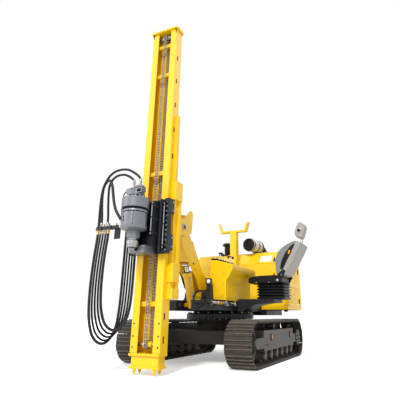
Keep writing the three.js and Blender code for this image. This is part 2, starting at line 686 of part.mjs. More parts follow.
const bar = { low: 1690, high: 1735 };
piece('hose_bar', carriageBody, join(
  box([-720, -175 - gap], [-2290, -2250], [bar.low, bar.high]),
  box([-420, -330], [-2275, -2262], [bar.low - 130, bar.low + 5]),
), black);

// ---------------------------------------------------------------- hoses
// The route of the first looped hose, from the carriage's bar down, round and up to the mast's arm.
const loopRoute = [
  [-690, -2275, 1689.7], [-690, -2275, 1640], [-691, -2276, 1560], [-699, -2281, 1400], [-706, -2285, 1150],
  [-706, -2282, 900],
  [-700, -2270, 700], [-688, -2250, 560], [-662, -2215, 430], [-625, -2167, 355], [-585, -2120, 330],
  [-545, -2070, 352], [-512, -2022, 430], [-492, -1988, 560], [-483, -1972, 750], [-480, -1968, 1000],
  [-480, -1968, 1300], [-480, -1968, 1600], [-480, -1968, 1860], [-480, -1968, 1924.7],
];
// The route of the first hose from the bar over to the drive head's ports.
const arcRoute = [
  [-650, -2270, 1735.3], [-650, -2270, 1780], [-652, -2273, 1870], [-660, -2285, 2000], [-655, -2305, 2150],
  [-615, -2335, 2275], [-530, -2365, 2370], [-420, -2392, 2420], [-300, -2410, 2430], [-180, -2422, 2410],
  [-80, -2430, 2360], [0, -2430, 2300], [38, -2430, 2258], [50, -2430, 2222], [50, -2430, 2190.3],
];

const curveOf = (points) => new THREE.CatmullRomCurve3(points.map((p) => new THREE.Vector3(...p)));

/** Each next loop hangs beside the last, and a little higher. */
function loopCurve(i) {
  const top = loopRoute[0][2];
  return curveOf(loopRoute.map(([x, y, z]) => [
    x + hose.spacing * i, y, z < top ? top - (top - z) * (1 - hose.rise * i) : z,
  ]));
}

for (let i = 0; i < hose.loops; i += 1) {
  const curve = loopCurve(i);
  const trimmed = gap / 2 / curve.getLength();
  piece(`hose_loop_${i + 1}_carriage`, carriageBody, tube(new Stretch(curve, 0, 0.5 - trimmed), 24), rubber);
  piece(`hose_loop_${i + 1}_mast`, mastBody, tube(new Stretch(curve, 0.5 + trimmed, 1), 24), rubber);
}

const arcMiddle = (arcRoute[0][0] + portX[1]) / 2;
const arcFlat = 2222; // above this height the inner arc is flatter
for (let i = 0; i < hose.arcs; i += 1) {
  const narrow = 1 - (i * (portX[1] - portX[0])) / (portX[1] - arcMiddle);
  const route = arcRoute.map(([x, y, z]) => [
    arcMiddle + (x - arcMiddle) * narrow, y, z - 0.35 * i * Math.max(0, z - arcFlat),
  ]);
  piece(`hose_arc_${i + 1}`, carriageBody, tube(curveOf(route), 24), rubber);
}

// ---------------------------------------------------------------- origin under the middle of the box
const bounds = new THREE.Box3();
rig.traverse((item) => {
  if (item.isMesh && !item.name.startsWith('hose_loop') && !item.name.startsWith('hose_arc')) bounds.expandByObject(item);
});
const middle = bounds.getCenter(new THREE.Vector3());
rig.position.set(-middle.x, -middle.y, -bounds.min.z);

export default rig;
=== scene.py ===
"""A crawler-mounted pile driver and drilling rig: its finish, its fine detail, its hoses and its seat.

Lengths are in millimetres from the slew axis and the ground, and place() turns them into the frame's metres.
The mast stands at the -Y end, +X is the side with the seat, and +Z is up.
"""
import math

import bmesh
import bpy
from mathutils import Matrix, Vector


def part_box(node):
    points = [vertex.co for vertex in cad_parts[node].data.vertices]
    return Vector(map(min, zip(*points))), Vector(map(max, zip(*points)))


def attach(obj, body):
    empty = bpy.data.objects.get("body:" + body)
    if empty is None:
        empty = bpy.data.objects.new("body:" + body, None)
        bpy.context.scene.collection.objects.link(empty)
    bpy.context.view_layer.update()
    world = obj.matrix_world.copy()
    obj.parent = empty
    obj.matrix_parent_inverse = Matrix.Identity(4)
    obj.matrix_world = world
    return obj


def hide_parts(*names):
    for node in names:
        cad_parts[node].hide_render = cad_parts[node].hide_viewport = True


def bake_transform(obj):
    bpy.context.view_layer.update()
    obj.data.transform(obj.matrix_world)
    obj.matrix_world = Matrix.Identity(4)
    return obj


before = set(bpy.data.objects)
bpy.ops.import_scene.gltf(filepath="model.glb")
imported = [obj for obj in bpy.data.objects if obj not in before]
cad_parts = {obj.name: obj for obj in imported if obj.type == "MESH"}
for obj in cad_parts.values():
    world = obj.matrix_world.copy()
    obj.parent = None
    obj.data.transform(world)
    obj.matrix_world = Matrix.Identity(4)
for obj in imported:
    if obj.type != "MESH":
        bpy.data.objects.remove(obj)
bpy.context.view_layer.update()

ring_low, ring_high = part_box("ring_gear")
SLEW_AXIS = Vector(((ring_low.x + ring_high.x) / 2, (ring_low.y + ring_high.y) / 2, 0))


def place(x, y, z):
    return Vector((x, y, z)) / 1000 + SLEW_AXIS


def span(node):
    """A CAD node's low and high corners, in millimetres from the slew axis and the ground."""
    low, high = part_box(node)
    return (low - SLEW_AXIS) * 1000, (high - SLEW_AXIS) * 1000


# ---------------------------------------------------------------- camera
CAMERA_AT = (2837, -6020, 640)
CAMERA_YAW = 24.54
CAMERA_PITCH = 19.8
CAMERA_LENS = 34.09
CAMERA_SHIFT = (-0.0625, -0.05)


def add_object(name, data):
    made = bpy.data.objects.new(name, data)
    bpy.context.scene.collection.objects.link(made)
    return made


def make_camera():
    data = bpy.data.cameras.new("camera")
    data.lens = CAMERA_LENS
    data.sensor_width = 36
    data.shift_x, data.shift_y = CAMERA_SHIFT
    camera = add_object("camera", data)
    camera.location = place(*CAMERA_AT)
    camera.rotation_euler = (math.radians(90 + CAMERA_PITCH), 0, math.radians(CAMERA_YAW))
    bpy.context.scene.camera = camera


make_camera()


# ---------------------------------------------------------------- materials
DARK = 0.03
DARK_SHEEN = 0.2
COAT_ROUGHNESS = 0.15
WORN_FROM, WORN_TO = 0.54, 0.68
GRAIN_DEPTH = 0.002


def fill(tree, node, values):
    """Sets a node's inputs: a socket is linked, and anything else becomes the input's own value."""
    for name, value in values.items():
        if isinstance(value, bpy.types.NodeSocket):
            tree.links.new(value, node.inputs[name])
        else:
            node.inputs[name].default_value = value
    return node


def add_node(tree, kind, values=None, **settings):
    node = tree.nodes.new("ShaderNode" + kind)
    for name, value in settings.items():
        setattr(node, name, value)
    return fill(tree, node, values or {})


def new_material(name):
    made = bpy.data.materials.new(name)
    made.use_nodes = True
    return made, made.node_tree, made.node_tree.nodes["Principled BSDF"]


def material(name, color, rough, metal=0.0, coat=0.0, vary=0.12, grain=(350, 0.05), worn=None, spread=3.0):
    """A painted, cast or moulded finish: colour in patches, uneven gloss, a fine grain and worn edges."""
    made, tree, shader = new_material(name)
    where = add_node(tree, "TexCoord").outputs["Object"]
    patches = add_node(tree, "TexNoise", {"Scale": spread, "Detail": 6, "Vector": where}).outputs["Fac"]
    deep = (*[c * (1 - vary) for c in color], 1)
    light = (*[min(1, c * (1 + vary * 0.6)) for c in color], 1)
    tone = add_node(tree, "Mix", {"A": deep, "B": light, "Factor": patches},
                    data_type="RGBA").outputs["Result"]
    if worn:
        edge = add_node(tree, "NewGeometry").outputs["Pointiness"]
        rubbed = add_node(tree, "MapRange", {"From Min": WORN_FROM, "From Max": WORN_TO, "Value": edge})
        tone = add_node(tree, "Mix", {"A": tone, "B": (*worn, 1), "Factor": rubbed.outputs["Result"]},
                        data_type="RGBA").outputs["Result"]
    gloss = add_node(tree, "MapRange", {"To Min": rough * 0.8, "To Max": min(1, rough * 1.25),
                                        "Value": patches}).outputs["Result"]
    fine = add_node(tree, "TexNoise", {"Scale": grain[0], "Vector": where})
    bump = add_node(tree, "Bump", {"Strength": grain[1], "Distance": GRAIN_DEPTH,
                                   "Height": fine.outputs["Fac"]}).outputs["Normal"]
    fill(tree, shader, {"Base Color": tone, "Roughness": gloss, "Normal": bump, "Metallic": metal,
                        "Coat Weight": coat, "Coat Roughness": COAT_ROUGHNESS})
    if max(color) < DARK:
        fill(tree, shader, {"Specular IOR Level": DARK_SHEEN})
    return made


def lens_material():
    made, tree, shader = new_material("lamp_lens")
    ribs = add_node(tree, "TexVoronoi", {"Scale": 90})
    bump = add_node(tree, "Bump", {"Strength": 0.5, "Distance": 0.003, "Height": ribs.outputs["Distance"]})
    fill(tree, shader, {"Base Color": (0.85, 0.86, 0.88, 1), "Roughness": 0.08, "Coat Weight": 0.8,
                        "Normal": bump.outputs["Normal"]})
    return made


YELLOW = material("yellow_paint", (0.92, 0.57, 0.003), 0.36, coat=0.14, vary=0.05)
BLACK = material("black_paint", (0.014, 0.015, 0.018), 0.42, coat=0.08, vary=0.3, worn=(0.08, 0.08, 0.08))
CARRIAGE_BLACK = material("carriage_paint", (0.006, 0.007, 0.012), 0.36, coat=0.1, vary=0.3,
                          worn=(0.10, 0.11, 0.13))
FRAME_GREY = material("frame_paint", (0.024, 0.023, 0.022), 0.5, vary=0.3, worn=(0.10, 0.095, 0.09))
DUSTY_GREY = material("dusty_frame", (0.085, 0.077, 0.068), 0.6, vary=0.3, worn=(0.18, 0.17, 0.155))
SHOE = material("shoe_steel", (0.016, 0.014, 0.012), 0.55, metal=0.3, vary=0.4, worn=(0.12, 0.105, 0.09),
                spread=9)
BARS = material("grouser_steel", (0.15, 0.135, 0.115), 0.42, metal=0.5, vary=0.45, spread=14)
RUST = material("rusty_bolts", (0.16, 0.075, 0.03), 0.6, metal=0.3, vary=0.4, spread=30)
CHROME = material("chrome_rod", (0.72, 0.72, 0.73), 0.14, metal=1.0, vary=0.04, grain=(900, 0.01))
STEEL = material("bright_steel", (0.42, 0.42, 0.43), 0.32, metal=1.0, vary=0.2)
CHAIN = material("chain_steel", (0.42, 0.41, 0.39), 0.4, metal=0.25, vary=0.3, spread=40)
HEAD = material("silver_grey_paint", (0.20, 0.21, 0.23), 0.34, metal=0.45, coat=0.1, vary=0.2)
HOSE = material("hose_rubber", (0.006, 0.006, 0.008), 0.46, vary=0.3, grain=(600, 0.1))
SLEEVE = material("spiral_sleeve", (0.022, 0.023, 0.026), 0.36, vary=0.4)
BELLOWS = material("bellows_rubber", (0.010, 0.010, 0.011), 0.36, vary=0.2, grain=(200, 0.1))
LEATHER = material("seat_leather", (0.008, 0.008, 0.010), 0.36, vary=0.2, grain=(260, 0.35))
CLOTH = material("seat_cloth", (0.24, 0.245, 0.26), 0.8, vary=0.6, grain=(900, 0.6), spread=45)
SHELL = material("seat_shell", (0.34, 0.325, 0.30), 0.5, vary=0.1)
PLASTIC = material("black_plastic", (0.010, 0.010, 0.011), 0.36, vary=0.2)
PALE = material("pale_plastic", (0.58, 0.58, 0.57), 0.4, vary=0.06)
BRASS = material("brass", (0.72, 0.46, 0.16), 0.26, metal=0.9, vary=0.15)
WHITE = material("blank_panel", (0.86, 0.86, 0.85), 0.4, vary=0.02)
BLUE = material("blue_grip", (0.02, 0.13, 0.42), 0.4, vary=0.1)
ORANGE = material("orange_tag", (0.80, 0.36, 0.02), 0.5, vary=0.1)
# Painted shade: a near-black finish on discs, rings, slots, plates and the chain's rollers, standing in for
# the shade in holes, grooves, gaps and pockets.
SHADE = material("painted_recess_shade", (0.004, 0.004, 0.004), 0.8, vary=0.3)
LENS = lens_material()


# ---------------------------------------------------------------- outlines and paths
def circle(radius, sides, turn=0.0, centre=(0, 0)):
    """Evenly spaced points round a centre, the first one at an angle of turn."""
    angles = [turn + 2 * math.pi * i / sides for i in range(sides)]
    return [(centre[0] + radius * math.cos(a), centre[1] + radius * math.sin(a)) for a in angles]


def arc(centre, radius, start, end, steps):
    """Points of an arc, its angles in degrees."""
    angles = [math.radians(start + (end - start) * i / steps) for i in range(steps + 1)]
    return [(centre[0] + radius * math.cos(a), centre[1] + radius * math.sin(a)) for a in angles]


def grid(us, vs):
    return [(u, v) for u in us for v in vs]


def toothed(count, root, tip, wide, narrow, centre=(0, 0)):
    """A toothed wheel's outline; wide and narrow are a tooth's half widths at root and tip, in pitches."""
    outline = []
    for i in range(count):
        for share, radius in ((-wide, root), (-narrow, tip), (narrow, tip), (wide, root)):
            a = 2 * math.pi * (i + share) / count
            outline.append((centre[0] + radius * math.cos(a), centre[1] + radius * math.sin(a)))
    return outline


def rounded_square(i, sides, power):
    """A point of a rounded square that reaches 1 each way; a higher power has tighter corners."""
    a = 2 * math.pi * i / sides
    return [math.copysign(abs(t) ** (2 / power), t) for t in (math.cos(a), math.sin(a))]


def oval(distance, half, radius):
    """A point on a belt round two wheels, at -half and half, and its forward and outward directions."""
    straight, bend = 2 * half, math.pi * radius
    s = distance % (2 * (straight + bend))
    if s < straight:
        return Vector((half - s, radius)), Vector((-1, 0)), Vector((0, 1))
    if straight + bend <= s < 2 * straight + bend:
        return Vector((s - straight - bend - half, -radius)), Vector((1, 0)), Vector((0, -1))
    first = s < straight + bend
    a = math.pi / 2 + (s - straight) / radius if first else (s - 2 * straight - bend) / radius - math.pi / 2
    outward = Vector((math.cos(a), math.sin(a)))
    return Vector((-half if first else half, 0)) + outward * radius, Vector((-outward.y, outward.x)), outward


def smooth_path(points, step):
    """Evenly spaced points on a spline through the given ones."""
    given = [Vector(p) for p in points]
    ends = [given[0] * 2 - given[1], *given, given[-1] * 2 - given[-2]]
    dense = []
    for i in range(1, len(ends) - 2):
        p0, p1, p2, p3 = ends[i - 1:i + 3]
        for k in range(16):
            t = k / 16
            dense.append(0.5 * (2 * p1 + (p2 - p0) * t + (2 * p0 - 5 * p1 + 4 * p2 - p3) * t * t
                                + (3 * p1 - 3 * p2 + p3 - p0) * t ** 3))
    dense.append(given[-1])
    total = sum((b - a).length for a, b in zip(dense, dense[1:]))
    count = max(4, round(total / step))
    result, gone, want = [dense[0]], 0.0, total / count
    for a, b in zip(dense, dense[1:]):
        length = (b - a).length
        while gone + length >= want * len(result) - 1e-6 and len(result) < count:
            result.append(a.lerp(b, (want * len(result) - gone) / length))
        gone += length
    return [*result, dense[-1]]


def across(path):
    """Each point of a path with two directions square to the path, which don't twist along it."""
    side, result = None, []
    for i, p in enumerate(path):
        forward = (path[min(i + 1, len(path) - 1)] - path[max(i - 1, 0)]).normalized()
        if side is None:
            side = forward.orthogonal().normalized()
        side = (side - forward * side.dot(forward)).normalized()
        result.append((p, side, forward.cross(side)))
    return result


# ---------------------------------------------------------------- making meshes
# Where a section's two coordinates and its depth go, for each axis that it is drawn out along.
LAY = {
    "x": lambda u, v, w: Vector((w, u, v)),
    "y": lambda u, v, w: Vector((u, w, v)),
    "z": lambda u, v, w: Vector((u, v, w)),
}


class Shape:
    """Collects closed solids, each face with the material that was current when it was added."""

    def __init__(self, *materials):
        self.materials = list(materials)
        self.points, self.faces, self.marks, self.mark = [], [], [], 0

    def use(self, chosen):
        if chosen not in self.materials:
            self.materials.append(chosen)
        self.mark = self.materials.index(chosen)
        return self

    def loft(self, rings, closed=False):
        """Skins rings of equally many points; both ends are capped unless the rings close on themselves."""
        base, count, size = len(self.points), len(rings), len(rings[0])
        faces = []
        for k in range(count if closed else count - 1):
            a, b = base + k * size, base + (k + 1) % count * size
            faces += [(a + i, a + (i + 1) % size, b + (i + 1) % size, b + i) for i in range(size)]
        if not closed:
            last = base + (count - 1) * size
            faces += [range(base + size - 1, base - 1, -1), range(last, last + size)]
        self.points += [Vector(p) for ring in rings for p in ring]
        self.faces += [list(face) for face in faces]
        self.marks += [self.mark] * len(faces)
        return self

    def prism(self, axis, outline, low, high):
        return self.loft([[LAY[axis](u, v, w) for u, v in outline] for w in (low, high)])

    def box(self, x, y, z):
        return self.prism("z", [(x[0], y[0]), (x[1], y[0]), (x[1], y[1]), (x[0], y[1])], *z)

    def turned(self, axis, centre, profile, sides=32, turn=0.0):
        """A turned solid from (radius, distance along the axis) pairs."""
        return self.loft([[LAY[axis](u, v, w) for u, v in circle(r, sides, turn, centre)]
                          for r, w in profile])

    def bolt(self, axis, centre, low, high, size=11):
        """A washer and a hexagon head; high may be below low when the head points the other way."""
        step = (high - low) / 4
        self.turned(axis, centre, [(size * 1.35, low), (size * 1.35, low + step)], 12)
        head = [(size, low + step), (size, high - step / 2), (size * 0.85, high)]
        return self.turned(axis, centre, head, 6)

    def bolts(self, axis, centres, low, high, size=11):
        for centre in centres:
            self.bolt(axis, centre, low, high, size)
        return self

    def tube(self, path, radius, sides=10):
        return self.loft([[p + side * u + up * v for u, v in circle(radius, sides)]
                          for p, side, up in across([Vector(p) for p in path])])

    def move(self, start, change):
        """Passes every point from the one numbered start through a function."""
        self.points[start:] = [Vector(change(p)) for p in self.points[start:]]
        return self


def soften(obj, width, sharp=35, segments=2):
    bevel = obj.modifiers.new("soft_edges", "BEVEL")
    bevel.width = width / 1000
    bevel.segments = segments
    bevel.limit_method = "ANGLE"
    bevel.angle_limit = math.radians(sharp)
    bevel.miter_outer = "MITER_ARC"
    shade = obj.modifiers.new("shading", "WEIGHTED_NORMAL")
    shade.keep_sharp = True


def piece(name, shape, body, bevel=0.0, sharp=35, segments=2, replaces=()):
    """Makes an object of a shape, riding on a body, with softened edges."""
    mesh = bpy.data.meshes.new(name)
    mesh.from_pydata([place(*p) for p in shape.points], [], shape.faces)
    for chosen in shape.materials:
        mesh.materials.append(chosen)
    mesh.polygons.foreach_set("material_index", shape.marks)
    made = bmesh.new()
    made.from_mesh(mesh)
    bmesh.ops.recalc_face_normals(made, faces=made.faces)
    made.to_mesh(mesh)
    made.free()
    mesh.polygons.foreach_set("use_smooth", [True] * len(mesh.polygons))
    mesh.set_sharp_from_angle(angle=math.radians(sharp))
    obj = add_object(name, mesh)
    if bevel:
        soften(obj, bevel, sharp, segments)
    if body:
        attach(obj, body)
    if replaces:
        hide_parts(*replaces)
    return obj


def dress(node, chosen, width=3.0):
    """Gives a CAD node its finish and softened edges; its own vertices stay as they are."""
    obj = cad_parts[node]
    for slot in obj.material_slots:
        slot.material = chosen
    obj.data.polygons.foreach_set("use_smooth", [True] * len(obj.data.polygons))
    weld = obj.modifiers.new("weld", "WELD")
    weld.merge_threshold = 0.00005
    soften(obj, width)


# ---------------------------------------------------------------- undercarriage
TRACK_HALF_LENGTH = 1320
TRACK_HALF_WIDTH = 186
TRACK_GAUGE = 1704
WHEEL_Z = 300
WHEEL_Y = TRACK_HALF_LENGTH - WHEEL_Z
BELT_RADIUS = 245
SHOE_COUNT = 36


def track_belt(side, name):
    """Triple-bar shoes bolted to a chain of links with pins."""
    shape = Shape(SHOE, BARS, RUST)
    pitch = 2 * (2 * WHEEL_Y + math.pi * BELT_RADIUS) / SHOE_COUNT
    middle = side * TRACK_GAUGE / 2
    half = TRACK_HALF_WIDTH
    plate = [(-0.62 * pitch, 14), (0.44 * pitch, 19), (0.5 * pitch, 30), (0.5 * pitch, 35),
             (-0.5 * pitch, 35), (-0.62 * pitch, 25)]
    link = [(-0.49 * pitch, 0), (0.49 * pitch, 0), (0.43 * pitch, 23), (-0.43 * pitch, 23)]
    for i in range(SHOE_COUNT):
        point, forward, outward = oval((i + 0.5) * pitch, WHEEL_Y, BELT_RADIUS)

        def lay(along_belt, height, base=point + Vector((0, WHEEL_Z)), forward=forward, outward=outward):
            return tuple(base + forward * along_belt + outward * height)

        def block(outline, x0, x1):
            shape.prism("x", [lay(*p) for p in outline], middle + x0, middle + x1)

        def stud(s, height, x0, x1, radius, sides):
            shape.turned("x", lay(s, height), [(radius, middle + x0), (radius, middle + x1)], sides)

        shape.use(SHOE)
        block(plate, -half, half)
        for x in (-78, 66):
            block(link, x, x + 12)
            stud(-0.5 * pitch, 11, x - 6, x + 18, 15, 10)
        shape.use(BARS)
        for s, tall in ((-52, 52), (0, 54.5), (52, 52)):
            block([(s - 8, 31), (s + 8, 31), (s + 4, tall), (s - 4, tall)], -half + 3, half - 3)
        shape.use(RUST)
        for s, x in grid((-27, 27), (-62, 62)):
            stud(s, 38, x - 11, x + 11, 9, 6)
        shape.use(SHADE)
        for x in (-half + 28, half - 28):
            stud(26, 34, x - 8, x + 8, 9, 8)
    piece(f"track_shoes_{name}", shape, "undercarriage", 1.5, segments=1,
          replaces=[f"track_belt_{name}"])


def idler_wheel(side, name):
    middle = side * TRACK_GAUGE / 2
    profile = [(180, -61), (239, -61), (239, -30), (215, -26), (215, 26), (239, 30), (239, 61), (180, 61),
               (175, 40), (110, 40), (100, 76)]
    shape = Shape(DUSTY_GREY).turned("x", (-WHEEL_Y, WHEEL_Z), [(r, middle + x) for r, x in profile], 48)
    piece(f"idler_wheel_{name}", shape, "undercarriage", 2, replaces=[f"idler_{name}"])


def sprocket_wheel(side, name):
    middle, centre = side * TRACK_GAUGE / 2, (WHEEL_Y, WHEEL_Z)
    shape = Shape(FRAME_GREY)
    shape.prism("x", toothed(21, 212, 238, 0.3, 0.16, centre), middle - 22, middle + 22)
    hub = [(150, middle - 78), (165, middle - 70), (165, middle + 70), (150, middle + 78)]
    shape.turned("x", centre, hub, 48)
    shape.use(STEEL).bolts("x", circle(185, 12, centre=centre), middle + side * 22, middle + side * 36, 12)
    piece(f"sprocket_wheel_{name}", shape, "undercarriage", 2, replaces=[f"sprocket_{name}"])


def track_fittings(side, name):
    """Roller caps, pockets, the inner web, the final drive's cover and the idler's hub on a side frame; the
    web's dark colour is painted shade for the gap inside the frame.
    """
    shape = Shape(DUSTY_GREY)
    low, high = span(f"track_frame_{name}")
    face = high.x if side > 0 else low.x

    def disc(finish, centre, profile, sides):
        shape.use(finish).turned("x", centre, [(r, face + side * x) for r, x in profile], sides)

    def block(finish, x0, x1, y, z):
        shape.use(finish).box((face + side * x0, face + side * x1), y, z)

    for i in range(6):
        y = -650 + 1300 * i / 5
        disc(DUSTY_GREY, (y, 130), [(52, -90), (52, -22), (40, -12)], 20)
        block(DUSTY_GREY, -40, -8, (y - 34, y + 34), (118, 205))
    # The inner web: a plate in the darker frame paint, which closes the gap inside the frame and carries
    # painted shade there.
    block(FRAME_GREY, -270, -260, (-820, 900), (430, 541))
    for y in (-430, 560):
        shape.use(FRAME_GREY).box((face - 1, face + side * 5), (y - 46, y + 46), (316, 408))
        block(SHADE, 0, 7, (y - 38, y + 38), (324, 400))
        block(ORANGE, 0, 10, (y + 6, y + 30), (332, 392))
    for centre in ((-690, 270), (-610, 262), (-580, 270)):
        disc(SHADE, centre, [(13, -1), (13, 1.5)], 16)
    disc(FRAME_GREY, (WHEEL_Y, WHEEL_Z), [(128, -60), (128, 6), (112, 14), (60, 16)], 40)
    screws = circle(98, 10, centre=(WHEEL_Y, WHEEL_Z))
    shape.use(STEEL).bolts("x", screws, face + side * 12, face + side * 22, 9)
    disc(DUSTY_GREY, (-WHEEL_Y, WHEEL_Z), [(60, -20), (60, 5), (48, 9)], 28)
    piece(f"track_fittings_{name}", shape, "undercarriage", 1.5)
    dress(f"track_frame_{name}", DUSTY_GREY, 6)


def slewing_ring():
    shape = Shape(SHOE).prism("z", toothed(84, 478, 499, 0.32, 0.14), 561, 598)
    shape.turned("z", (0, 0), [(430, 598), (430, 604)], 64)
    piece("toothed_ring", shape, "undercarriage", replaces=["ring_gear"])
    flange = Shape(BLACK).turned("z", (0, 0), [(470, 605.5), (545, 605.5), (550, 612), (550, 676), (532, 691),
                                               (445, 692), (438, 719)], 96)
    for i, centre in enumerate(circle(522, 36, math.pi / 36)):
        flange.use(STEEL if i % 2 else BLACK).bolt("z", centre, 692, 706, 11)
        flange.use(STEEL).bolt("z", centre, 606, 598, 10)
    piece("slewing_flange", flange, "upper", replaces=["slew_flange"])


for side, name in ((1, "left"), (-1, "right")):
    track_belt(side, name)
    idler_wheel(side, name)
    sprocket_wheel(side, name)
    track_fittings(side, name)
dress("carbody", FRAME_GREY, 5)
slewing_ring()


# ---------------------------------------------------------------- upper structure
for node, finish, width in (
    ("deck", BLACK, 4), ("console", YELLOW, 8), ("engine_housing", YELLOW, 6),
    ("engine_block", FRAME_GREY, 6), ("fork_rest", YELLOW, 5), ("lamp_bracket", BLACK, 2),
    ("seat_bracket", BLACK, 4), ("hood_lid", YELLOW, 3),
    ("boom", YELLOW, 3), ("cradle", YELLOW, 3), ("hose_arm", YELLOW, 2), ("lift_barrel", YELLOW, 2),
    ("tilt_barrel", YELLOW, 2), ("lift_rod", CHROME, 1), ("tilt_rod", CHROME, 1), ("mast_frame", YELLOW, 3),
    ("mast_foot", YELLOW, 3), ("mast_top", YELLOW, 3), ("carriage_plate", CARRIAGE_BLACK, 3),
    ("hose_bar", CARRIAGE_BLACK, 2), ("guide_block", HEAD, 5),
):
    dress(node, finish, width)

SLOPE_FOOT = (750.3, 1550)
SLOPE_ALONG = (0.7335, 0.6799)
LID_SKIN = 12
HOOD_RIGHT = 955
PANEL_FACE = HOOD_RIGHT + 4
ROOF = 1800.5


def on_slope(x, s, h):
    """A point s up the hood's front slope and h off its skin."""
    return (x, SLOPE_FOOT[0] + SLOPE_ALONG[0] * s - SLOPE_ALONG[1] * h,
            SLOPE_FOOT[1] + SLOPE_ALONG[1] * s + SLOPE_ALONG[0] * h)


def slope_plate(shape, finish, x, s, h):
    start = len(shape.points)
    shape.use(finish).box(x, s, h).move(start, lambda p: on_slope(*p))


def screws_on_slope(shape, places, height):
    for place_on in places:
        start = len(shape.points)
        shape.use(STEEL).turned("z", place_on, [(8, height), (8, height + 3), (5, height + 5)], 12)
        shape.move(start, lambda p: on_slope(*p))


def lid_fittings():
    """The lid's blank panel, its latch with a blue grip, its screws and its hinge pins."""
    lid = Shape(WHITE)
    slope_plate(lid, WHITE, (438, 660), (60, 235), (LID_SKIN, 14.5))
    slope_plate(lid, PLASTIC, (700, 742), (44, 104), (LID_SKIN, 24))
    slope_plate(lid, PLASTIC, (711, 731), (60, 150), (24, 33))
    slope_plate(lid, BLUE, (708, 734), (36, 80), (25, 37))
    screws_on_slope(lid, grid((442, 900), (40, 325)), LID_SKIN)
    for x in (480, 830):
        lid.use(STEEL).turned("x", (1004, 1806), [(9, x), (9, x + 70)], 12)
    piece("lid_fittings", lid, "hood_lid", 1)


def slats(hood, axis, wall, lip, ends, lowest, count):
    """Slats one above another, each sloping from the wall out to its lip."""
    for i in range(count):
        z = lowest + 36 * i
        hood.use(YELLOW).prism(axis, [(wall, z), (lip, z - 5), (lip, z + 1), (wall, z + 20)], *ends)


def front_panels(hood):
    """Screwed panels on the slope and on the wall below it, and the rails beside the lid."""
    for x0, x1 in ((-948, -420), (-400, 395)):
        slope_plate(hood, YELLOW, (x0 + 14, x1 - 14), (16, 350), (0.2, 5))
        screws_on_slope(hood, grid((x0 + 40, x1 - 40), (45, 320)), 5)
    for x in (412, 929):
        slope_plate(hood, YELLOW, (x, x + 5), (8, 362), (0.2, 9))
    for x0, x1 in ((-930, -120), (520, 930)):
        hood.use(YELLOW).box((x0, x1), (746.5, 751), (800, 1520))
        hood.use(STEEL).bolts("y", grid((x0 + 25, x1 - 25), (830, 1175, 1490)), 746.5, 740, 8)


def vented_walls(hood):
    """Slatted vents with latches in the wall away from the seat and in the rear wall, and two round caps."""
    hood.use(YELLOW).box((-954, -949), (1090, 1650), (830, 1500))
    slats(hood, "y", -953, -964, (1150, 1590), 900, 15)
    for z in (870, 1460):
        hood.use(PLASTIC).box((-964, -954), (1600, 1636), (z - 30, z + 30))
    hood.use(YELLOW).box((-880, 880), (1699, 1704), (830, 1700))
    slats(hood, "x", 1703, 1712, (-300, 520), 960, 18)
    for z in (1000, 1500):
        hood.use(PLASTIC).box((820, 862), (1704, 1714), (z - 45, z + 45))
    for x in (-650, -560):
        hood.turned("y", (x, 1450), [(32, 1703), (32, 1712), (26, 1714)], 24)


def seat_side_wall(hood):
    """The pressed strip above the grille door, and the plain strip beside it."""
    hood.use(YELLOW).box((HOOD_RIGHT, PANEL_FACE), (1040, 1680), (1570, 1770))
    hood.box((HOOD_RIGHT, PANEL_FACE), (1530, 1690), (800, 1550))
    hood.use(STEEL).bolts("x", [*grid((1065, 1655), (1595, 1745)), (1660, 830), (1660, 1520)], PANEL_FACE,
                          PANEL_FACE + 6, 8)


def roof_and_buffers(hood):
    """The exhaust's flanged outlet and the lifting eyes on the roof, and two buffers under the front edge."""
    hood.use(PLASTIC).turned("z", (-640, 1400), [(62, ROOF), (62, 1812), (44, 1814), (44, 1905), (48, 1912),
                                                 (40, 1912), (38, 1830)], 32)
    for x in (500, 900):
        hood.turned("z", (x, 790), [(30, 716), (34, 728), (34, 745), (26, 751.6)], 20)
    for x in (-800, 800):
        eye = [(x - 45, 1800.4), (x + 45, 1800.4), (x + 30, 1848), (x - 30, 1848)]
        hood.use(YELLOW).prism("y", eye, 1560, 1572)
        hood.use(SHADE).turned("y", (x, 1826), [(14, 1559), (14, 1573)], 20)


def hood_panels():
    hood = Shape(YELLOW)
    front_panels(hood)
    vented_walls(hood)
    seat_side_wall(hood)
    roof_and_buffers(hood)
    piece("hood_panels", hood, "upper", 1.2)


# ---------------------------------------------------------------- side door
DOOR_X = (HOOD_RIGHT + 0.3, HOOD_RIGHT + 12.3)
DOOR_Y = (788, 1512)
DOOR_Z = (818, 1542)
DOOR_RAIL = 40
DOOR_MIDDLE = 1172
HOLES_ACROSS = 30
CELL_EDGE = [(1, 0), (1, 1), (0, 1), (-1, 1), (-1, 0), (-1, -1), (0, -1), (1, -1)]


def perforated_sheet(shape, y, z):
    """A sheet of square cells, each of them a closed ring round its hole."""
    wide = (y[1] - y[0]) / HOLES_ACROSS
    rows = round((z[1] - z[0]) / wide)
    tall = (z[1] - z[0]) / rows
    back, front = DOOR_X[1] - 7, DOOR_X[1] - 4
    for i, k in grid(range(HOLES_ACROSS), range(rows)):
        middle = (y[0] + (i + 0.5) * wide, z[0] + (k + 0.5) * tall)
        outer = [(middle[0] + u * wide / 2, middle[1] + v * tall / 2) for u, v in CELL_EDGE]
        hole = circle(6.2, 8, centre=middle)
        shape.loft([[(x, u, v) for u, v in ring] for ring, x in
                    ((hole, front), (outer, front), (outer, back), (hole, back))], closed=True)


